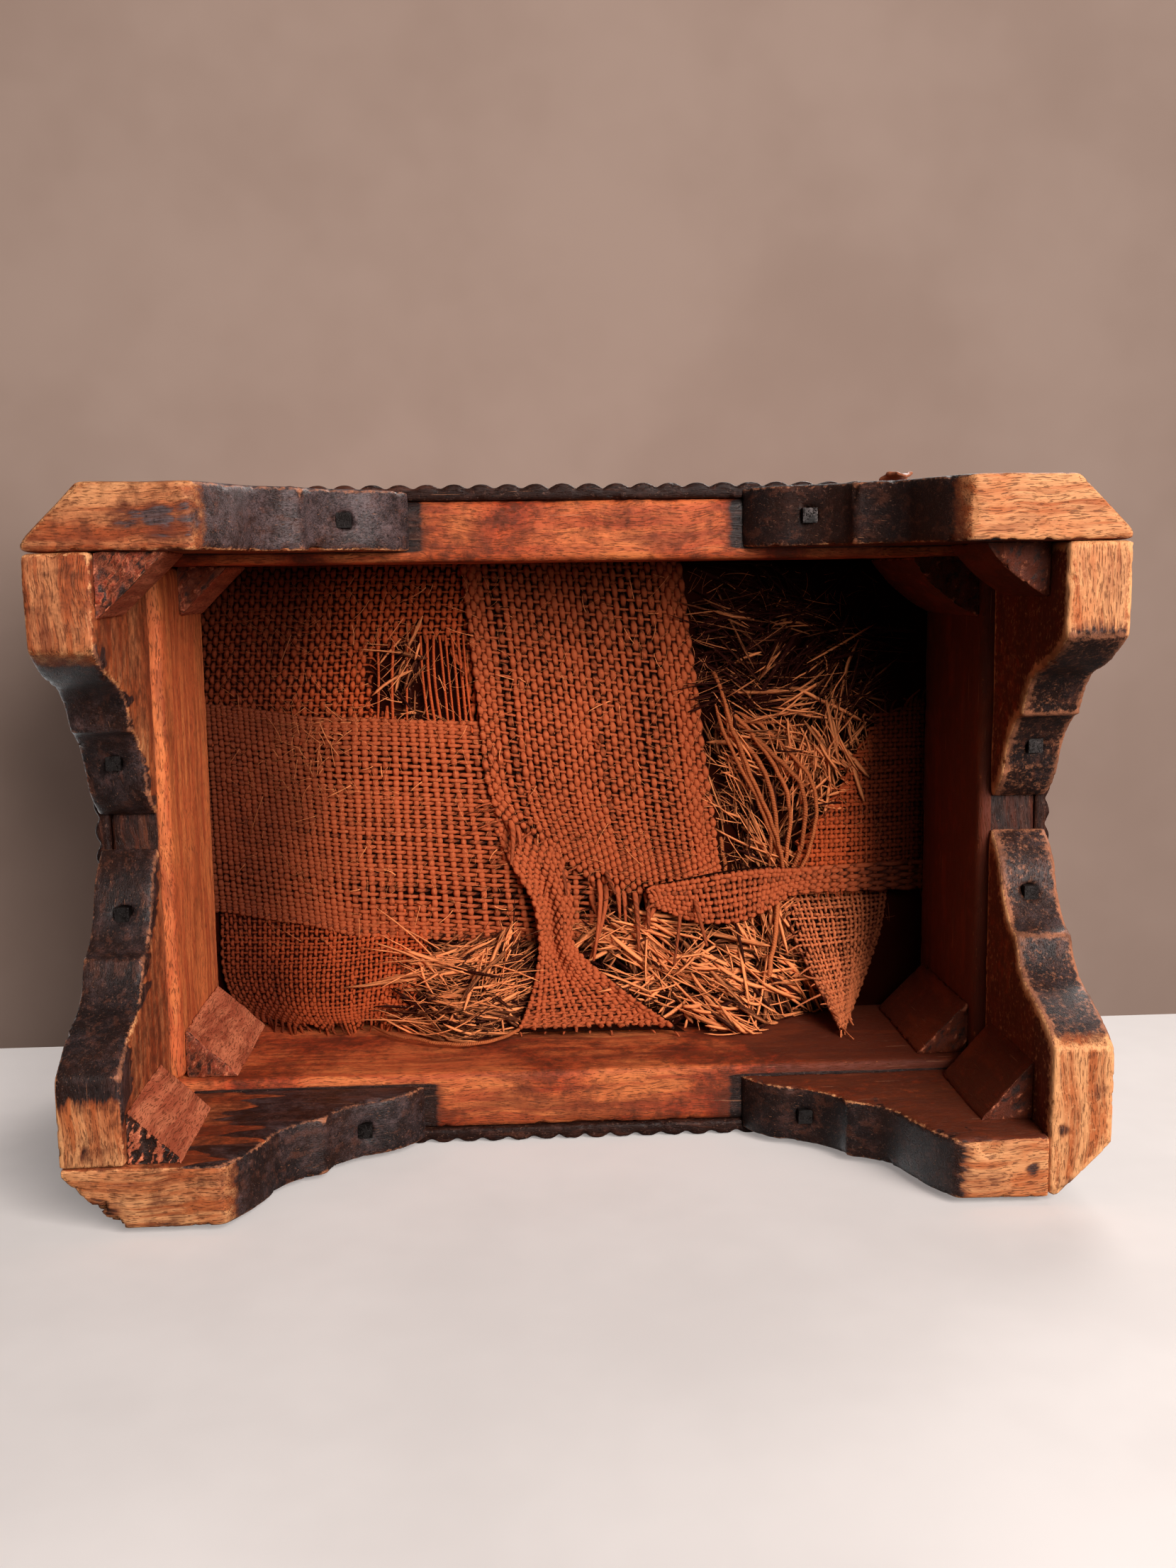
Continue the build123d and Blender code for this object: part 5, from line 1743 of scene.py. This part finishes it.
@dataclass
class SeatCover:
    """The stuffed leather seat, drawn down over the rails and puckered at its studs and corners."""

    finish: HideFinish = HideFinish()
    cell: float = 4.0
    skin: float = 1.3
    pinned_to: float = 20.0
    pressure: float = 3.2
    most_swell: float = 3.6
    draw_in: float = 2.4
    deepest: float = 2.1
    dip: float = 4.4
    dip_half: tuple[float, float] = (101.5, 53.5)
    dip_line: Path = ((0, 1), (0.25, 0.97), (0.45, 0.78), (0.66, 0.42), (0.86, 0.1), (1, 0))
    pleats: Path = ((4, 1.5), (24, 2.1), (45, 2.7), (66, 2.1), (86, 1.5))
    easing: float = 22.0
    frames: int = 20

    def rough_out(self) -> bpy.types.Object:
        """A closed block with the outline of the CAD cover, evenly divided."""
        return evened_copy("seat_cover", "leather_seat_cover", self.cell, bpy.ops.mesh.convex_hull)

    def open_below(self, obj: bpy.types.Object, level: float) -> None:
        """Takes away the faces at the foot, so that the skirt is open."""
        faces = obj.data.polygons
        faces.foreach_set("select", [
            face.normal.z < -0.7 and face.center.z / MM < level + 3 for face in faces])
        only(obj)
        bpy.ops.object.mode_set(mode="EDIT")
        bpy.ops.mesh.select_mode(type="FACE")
        bpy.ops.mesh.delete(type="FACE")
        bpy.ops.object.mode_set(mode="OBJECT")

    def tighten(self, obj: bpy.types.Object, level: float) -> None:
        """Draws the cover in above its skirt, to leave room for the swelling."""
        points = read_points(obj)
        free = span(points[:, 2], level + self.pinned_to, level + self.pinned_to + self.easing)[:, None]
        write_points(obj, points - read_normals(obj) * self.draw_in * free)

    def swell(self, obj: bpy.types.Object, level: float) -> None:
        """Blows the seat up a little as cloth, with its skirt held, and caps how far it moves."""
        start = read_points(obj)
        held = obj.vertex_groups.new(name="skirt")
        for number, height in enumerate(start[:, 2]):
            share = 1 - float(span(height, level + self.pinned_to, level + self.pinned_to + self.easing))
            if share > 0:
                held.add([number], share, "REPLACE")
        only(obj)
        cloth = obj.modifiers.new("Cloth", "CLOTH")
        cloth.settings.quality = 6
        cloth.settings.vertex_group_mass = held.name
        cloth.settings.use_pressure = True
        cloth.settings.uniform_pressure_force = self.pressure
        cloth.settings.shrink_min = -0.035
        cloth.settings.effector_weights.gravity = 0
        cloth.settings.bending_stiffness = 3.0
        for number in range(1, self.frames + 1):
            bpy.context.scene.frame_set(number)
        bpy.ops.object.modifier_apply(modifier=cloth.name)
        bpy.context.scene.frame_set(1)
        moved = read_points(obj) - start
        far = np.linalg.norm(moved, axis=1, keepdims=True)
        write_points(obj, start + moved * np.minimum(1, self.most_swell / np.maximum(far, 1e-9)))

    def sculpt(self, obj: bpy.types.Object, low: np.ndarray, high: np.ndarray) -> None:
        """Adds corner pleats, puckers over the studs and the hollow of long use."""
        points, normals = read_points(obj), read_normals(obj)
        start = points.copy()
        x, y, z = points.T
        height = (z - low[2]) / (high[2] - low[2])
        push = np.zeros(len(points))
        for sx in (-1, 1):
            for sy in (-1, 1):
                corner_x, corner_y = sx * (high[0] - 17), sy * (high[1] - 17)
                angle = np.degrees(np.arctan2((y - corner_y) * sy, (x - corner_x) * sx))
                reach = np.hypot(x - corner_x, y - corner_y)
                past = np.minimum((x - corner_x) * sx, (y - corner_y) * sy)
                outside = span(past, -14, 2) * span(reach, 4, 14)
                for number, (where, depth) in enumerate(self.pleats):
                    lean = where + 5 * math.sin(number * 2.3 + sx + 2 * sy) + 10 * (height - 0.5)
                    fold = np.exp(-((angle - lean) / 4.2) ** 2)
                    fold = fold - 0.55 * np.exp(-((angle - lean - 9) / 5) ** 2)
                    over_rail = 0.4 + 0.6 * span(height, 0.52, 0.66)
                    deep = fold * depth * over_rail * outside
                    push -= deep * span(height, 0.03, 0.2) * span(height, 0.96, 0.62)
        side_run = np.where(np.abs(y) > np.abs(x) * high[1] / high[0], x, y)
        pucker = 0.5 + 0.5 * np.cos(2 * np.pi * side_run / 12.2)
        push -= 0.9 * pucker * np.exp(-((z - low[2] - 9) / 8) ** 2) * span(normals[:, 2], 0.6, 0.2)
        push += 2.4 * (lattice_noise(start / 26, 71, 2) - 0.5) * span(height, 0.25, 0.6)
        push += 0.9 * (lattice_noise(start * (1 / 6, 1 / 6, 1 / 18), 72, 2) - 0.5) * span(height, 0.1, 0.5)
        points = self.lay_over(points + normals * push[:, None])
        out = (np.abs(x / self.dip_half[0]) ** 2.6 + np.abs(y / self.dip_half[1]) ** 2.6) ** (1 / 2.6)
        points[:, 2] -= self.dip * np.interp(out, *zip(*self.dip_line)) * span(height, 0.6, 0.9)
        skirt = span(z, low[2] + 4, low[2] + 15)[:, None]
        write_points(obj, start + (points - start) * skirt)

    def lay_over(self, points: np.ndarray) -> np.ndarray:
        """Keeps folds and puckers shallower than the CAD cover is thick, so that nothing under it shows.

        Args:
            points: the cover's places.

        Returns:
            The places, with those deep under the cover's outer face lifted softly towards it.
        """
        block = self.rough_out()
        mesh = block.data
        outside = BVHTree.FromPolygons([vertex.co / MM for vertex in mesh.vertices],
                                       [tuple(face.vertices) for face in mesh.polygons])
        lifted = points.copy()
        for number, point in enumerate(points):
            found, normal, _, _ = outside.find_nearest(Vector(point))
            depth = (found - Vector(point)).dot(normal)
            if depth > 0:
                lifted[number] = found - normal * self.deepest * (1 - math.exp(-depth / self.deepest))
        bpy.data.objects.remove(block)
        return lifted

    def build(self) -> bpy.types.Object:
        """Makes the cover and puts it in place of its node."""
        low, high = (np.array(corner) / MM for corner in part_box("seat_cover"))
        obj = self.rough_out()
        self.open_below(obj, low[2])
        self.tighten(obj, low[2])
        self.swell(obj, low[2])
        finish_modifier(obj, "SUBSURF", levels=1, render_levels=1)
        self.sculpt(obj, low, high)
        points, edges = read_points(obj), read_edges(obj)
        even = relax(points, edges, 8)
        crest = ((points - even) * read_normals(obj)).sum(1)
        height = (points[:, 2] - low[2]) / (high[2] - low[2])
        mark(obj, "wear", np.clip(0.2 + crest * 0.8 + 0.35 * span(height, 0.75, 1), 0, 1))
        mark(obj, "soil", np.clip(0.1 - crest * 0.8 + 0.8 * span(height, 0.14, 0), 0, 1))
        finish_modifier(obj, "SOLIDIFY", thickness=self.skin * MM, offset=-1)
        settle(obj, "cover_leather", self.finish.material(), "seat_cover")
        return obj


@dataclass
class CoverScrap:
    """A torn curl of the cover that stands out past the front rail on the right."""

    root: tuple[float, float, float] = (109.0, -105.6, 97.0)
    wide: float = 10.5
    thick: float = 1.1
    columns: int = 7
    spine: Path = ((0, 0, 0), (0, -2.2, -5), (-1, -4.2, -9), (-1, -5.4, -13), (0, -5.8, -16),
                   (1, -5.2, -19))

    def build(self) -> bpy.types.Object:
        """Makes the curl as a small bent tongue of leather."""
        spine = smooth_path(self.spine, 16)
        wide = self.columns
        rows = []
        for number, place in enumerate(spine):
            share = number / (len(spine) - 1)
            half = self.wide / 2 * (1 - 0.45 * share) * (1 + 0.18 * math.sin(share * 19))
            for across in np.linspace(-1, 1, wide):
                curl = -1.6 * across ** 2 * share
                ripple = 1.2 * math.sin(3 * across + 5 * share)
                rows.append(np.array(self.root) + place + (across * half, curl, ripple))
        faces = [(r * wide + c, r * wide + c + 1, r * wide + c + wide + 1, r * wide + c + wide)
                 for r in range(len(spine) - 1) for c in range(wide - 1)]
        obj = new_piece("cover_scrap", np.array(rows), faces)
        finish_modifier(obj, "SOLIDIFY", thickness=self.thick * MM, offset=0)
        finish_modifier(obj, "SUBSURF", levels=1, render_levels=1)
        mark(obj, "wear", 0.9)
        mark(obj, "soil", 0.0)
        settle(obj, "cover_leather", bpy.data.materials["seat_leather"])
        return obj


@dataclass
class Ironwork:
    """Nails, tacks and studs, which keep their CAD solids."""

    iron: MetalFinish = MetalFinish("old_iron", (52, 46, 45), (22, 15, 13))
    brass: MetalFinish = MetalFinish("old_brass", (176, 128, 66), (74, 48, 28))

    def build(self) -> None:
        """Gives each node its metal."""
        iron, brass = self.iron.material(), self.brass.material()
        for node, material in (("bracket_nails", iron), ("webbing_tacks", iron), ("cover_studs", brass)):
            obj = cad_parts[node]
            obj.data.materials.clear()
            obj.data.materials.append(material)
            log.info("%s keeps its solid", node)


# Stage

@dataclass(frozen=True)
class Lamp:
    """A soft square lamp: its place and size in metres, its power in watts and its tint."""

    name: str
    place: tuple[float, float, float]
    size: float
    power: float
    tint: tuple[float, float, float] = (1.0, 0.965, 0.93)
    aimed_at: tuple[float, float, float] = (0, 0, 0.08)

    def light(self) -> None:
        """Puts the lamp in the scene, aimed at the stool."""
        data = bpy.data.lights.new(self.name, "AREA")
        data.size, data.energy, data.color = self.size, self.power, self.tint
        lamp = bpy.data.objects.new(self.name, data)
        lamp.location = self.place
        aim = Vector(self.aimed_at) - Vector(self.place)
        lamp.rotation_euler = aim.to_track_quat("-Z", "Y").to_euler()
        bpy.context.scene.collection.objects.link(lamp)


@dataclass
class Stage:
    """Camera, lamps, the pale ground that the stool lies on and the plain wall behind it."""

    place: tuple[float, float, float] = (-0.023734, -0.080326, -0.417065)
    turn: tuple[float, float, float] = (172.005, 3.235, 0.728)
    lens: float = 34.18
    wall_z: float = 0.184
    ground_tint: tuple[int, int, int] = (208, 200, 197)
    wall_tint: tuple[int, int, int] = (146, 124, 113)
    floor_tint: tuple[int, int, int] = (214, 209, 205)
    far: float = 4.0
    ambient_tint: tuple[int, int, int] = (255, 244, 236)
    ambient: float = 0.045
    backdrop_tint: tuple[int, int, int] = (226, 221, 217)
    glossy_share: float = 0.1
    lamps: tuple[Lamp, ...] = (
        Lamp("key", (0.58, -0.52, -1.0), size=0.85, power=29.0),
        Lamp("fill_below", (-0.9, -0.7, -1.0), size=1.2, power=0.8, tint=(1.0, 0.86, 0.76)),
        Lamp("top_key", (0.9, -1.1, 1.5), size=0.9, power=26.0),
        Lamp("top_fill", (-1.3, 0.6, 1.2), size=1.4, power=14.0, tint=(1, 1, 1)),
    )

    def camera(self) -> None:
        """The photograph's viewpoint, below the feet."""
        data = bpy.data.cameras.new("photo_camera")
        data.lens, data.sensor_width = self.lens, 36.0
        data.clip_start = 0.01
        camera = bpy.data.objects.new("photo_camera", data)
        camera.location = self.place
        camera.rotation_euler = Euler([math.radians(angle) for angle in self.turn], "XYZ")
        bpy.context.scene.collection.objects.link(camera)
        bpy.context.scene.camera = camera

    def screen(self, name: str, tint: tuple[int, int, int], corners: Path, glow: float,
               dim: float = 0.0) -> None:
        """A flat stage surface that shows only from its front.

        Args:
            name: its name.
            tint: its colour.
            corners: its corners, anticlockwise from the front.
            glow: how much paler it looks to the camera than the lamps make it.
            dim: how much darker painted shade makes its tint at the right, where the key lamp lights it more.
        """
        mesh = bpy.data.meshes.new(name)
        mesh.from_pydata([tuple(corner) for corner in corners], [], [(0, 1, 2, 3)])
        obj = bpy.data.objects.new(name, mesh)
        bpy.context.scene.collection.objects.link(obj)
        material, t, shader = new_material(name)
        place = t.add("TexCoord").outputs["Object"]
        cloud = t.noise(place, 9, 4, 0.6)
        red, green, blue = tint
        darker, paler = srgb(red - 5, green - 5, blue - 5), srgb(red + 4, green + 4, blue + 4)
        shade = t.blend(t.step(cloud, 0.3, 0.7), darker, paler)
        # Painted shade: the tint darkens towards the right.
        right = t.step(t.add("SeparateXYZ", {0: place}).outputs[0], -0.15, 0.35, 0, dim)
        shade = t.blend(right, shade, srgb(0, 0, 0))
        t.tree.links.new(shade, shader.inputs["Base Color"])
        shader.inputs["Roughness"].default_value = 0.9
        shader.inputs["Specular IOR Level"].default_value = 0.1
        t.tree.links.new(shade, shader.inputs["Emission Color"])
        seen = t.calc("MULTIPLY", t.add("LightPath").outputs["Is Camera Ray"], glow)
        t.tree.links.new(seen, shader.inputs["Emission Strength"])
        clear = t.add("BsdfTransparent")
        side = t.add("NewGeometry").outputs["Backfacing"]
        mixed = t.add("MixShader", {0: side, 1: shader.outputs[0], 2: clear.outputs[0]})
        out = next(node for node in t.tree.nodes if node.type == "OUTPUT_MATERIAL")
        t.tree.links.new(mixed.outputs[0], out.inputs[0])
        mesh.materials.append(material)
        obj.visible_shadow = False
        obj.visible_diffuse = obj.visible_glossy = obj.visible_transmission = False

    def world(self) -> None:
        """Even ambient light, with a pale ground shown behind the stool."""
        world = bpy.data.worlds.new("studio")
        bpy.context.scene.world = world
        world.use_nodes = True
        world.node_tree.nodes.clear()
        t = Tree(world.node_tree)
        ambient = t.add("Background", {0: srgb(*self.ambient_tint), 1: self.ambient})
        shown = t.add("Background", {0: srgb(*self.backdrop_tint), 1: 1.0})
        ray = t.add("LightPath").outputs
        glossy = t.calc("MULTIPLY", ray["Is Glossy Ray"], self.glossy_share)
        seen = t.calc("MAXIMUM", ray["Is Camera Ray"], glossy)
        mixed = t.add("MixShader", {0: seen, 1: ambient.outputs[0], 2: shown.outputs[0]})
        t.add("OutputWorld", {0: mixed.outputs[0]})

    def build(self, back_y: float) -> None:
        """Sets the stage round the stool.

        Args:
            back_y: how far the back of the stool reaches, where it lies on the ground.
        """
        self.camera()
        far, wall = self.far, self.wall_z
        ground = ((-far, back_y, -far), (far, back_y, -far), (far, back_y, wall), (-far, back_y, wall))
        behind = ((-far, -far, wall), (-far, back_y, wall), (far, back_y, wall), (far, -far, wall))
        under = ((-far, -far, 0), (far, -far, 0), (far, far, 0), (-far, far, 0))
        self.screen("lying_ground", self.ground_tint, ground, glow=0.36, dim=0.08)
        self.screen("back_wall", self.wall_tint, behind, glow=0.14, dim=0.22)
        self.screen("floor", self.floor_tint, under, glow=0.1)
        for lamp in self.lamps:
            lamp.light()
        self.world()


def main() -> None:
    """Builds every part of the stool in order and reports it."""
    logging.basicConfig(level=logging.INFO, format="%(message)s")
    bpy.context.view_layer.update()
    scene = bpy.context.scene
    scene.view_settings.view_transform = "Standard"
    Stage().build(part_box("back_moulding")[1].y)
    BracketFeet().build()
    SeatFrame().build()
    GlueBlocks().build()
    TornWebbing().build()
    TornHessian().build()
    StrawStuffing().build()
    LooseYarns().build()
    SeatCover().build()
    CoverScrap().build()
    Ironwork().build()


if __name__ == "__main__":
    main()
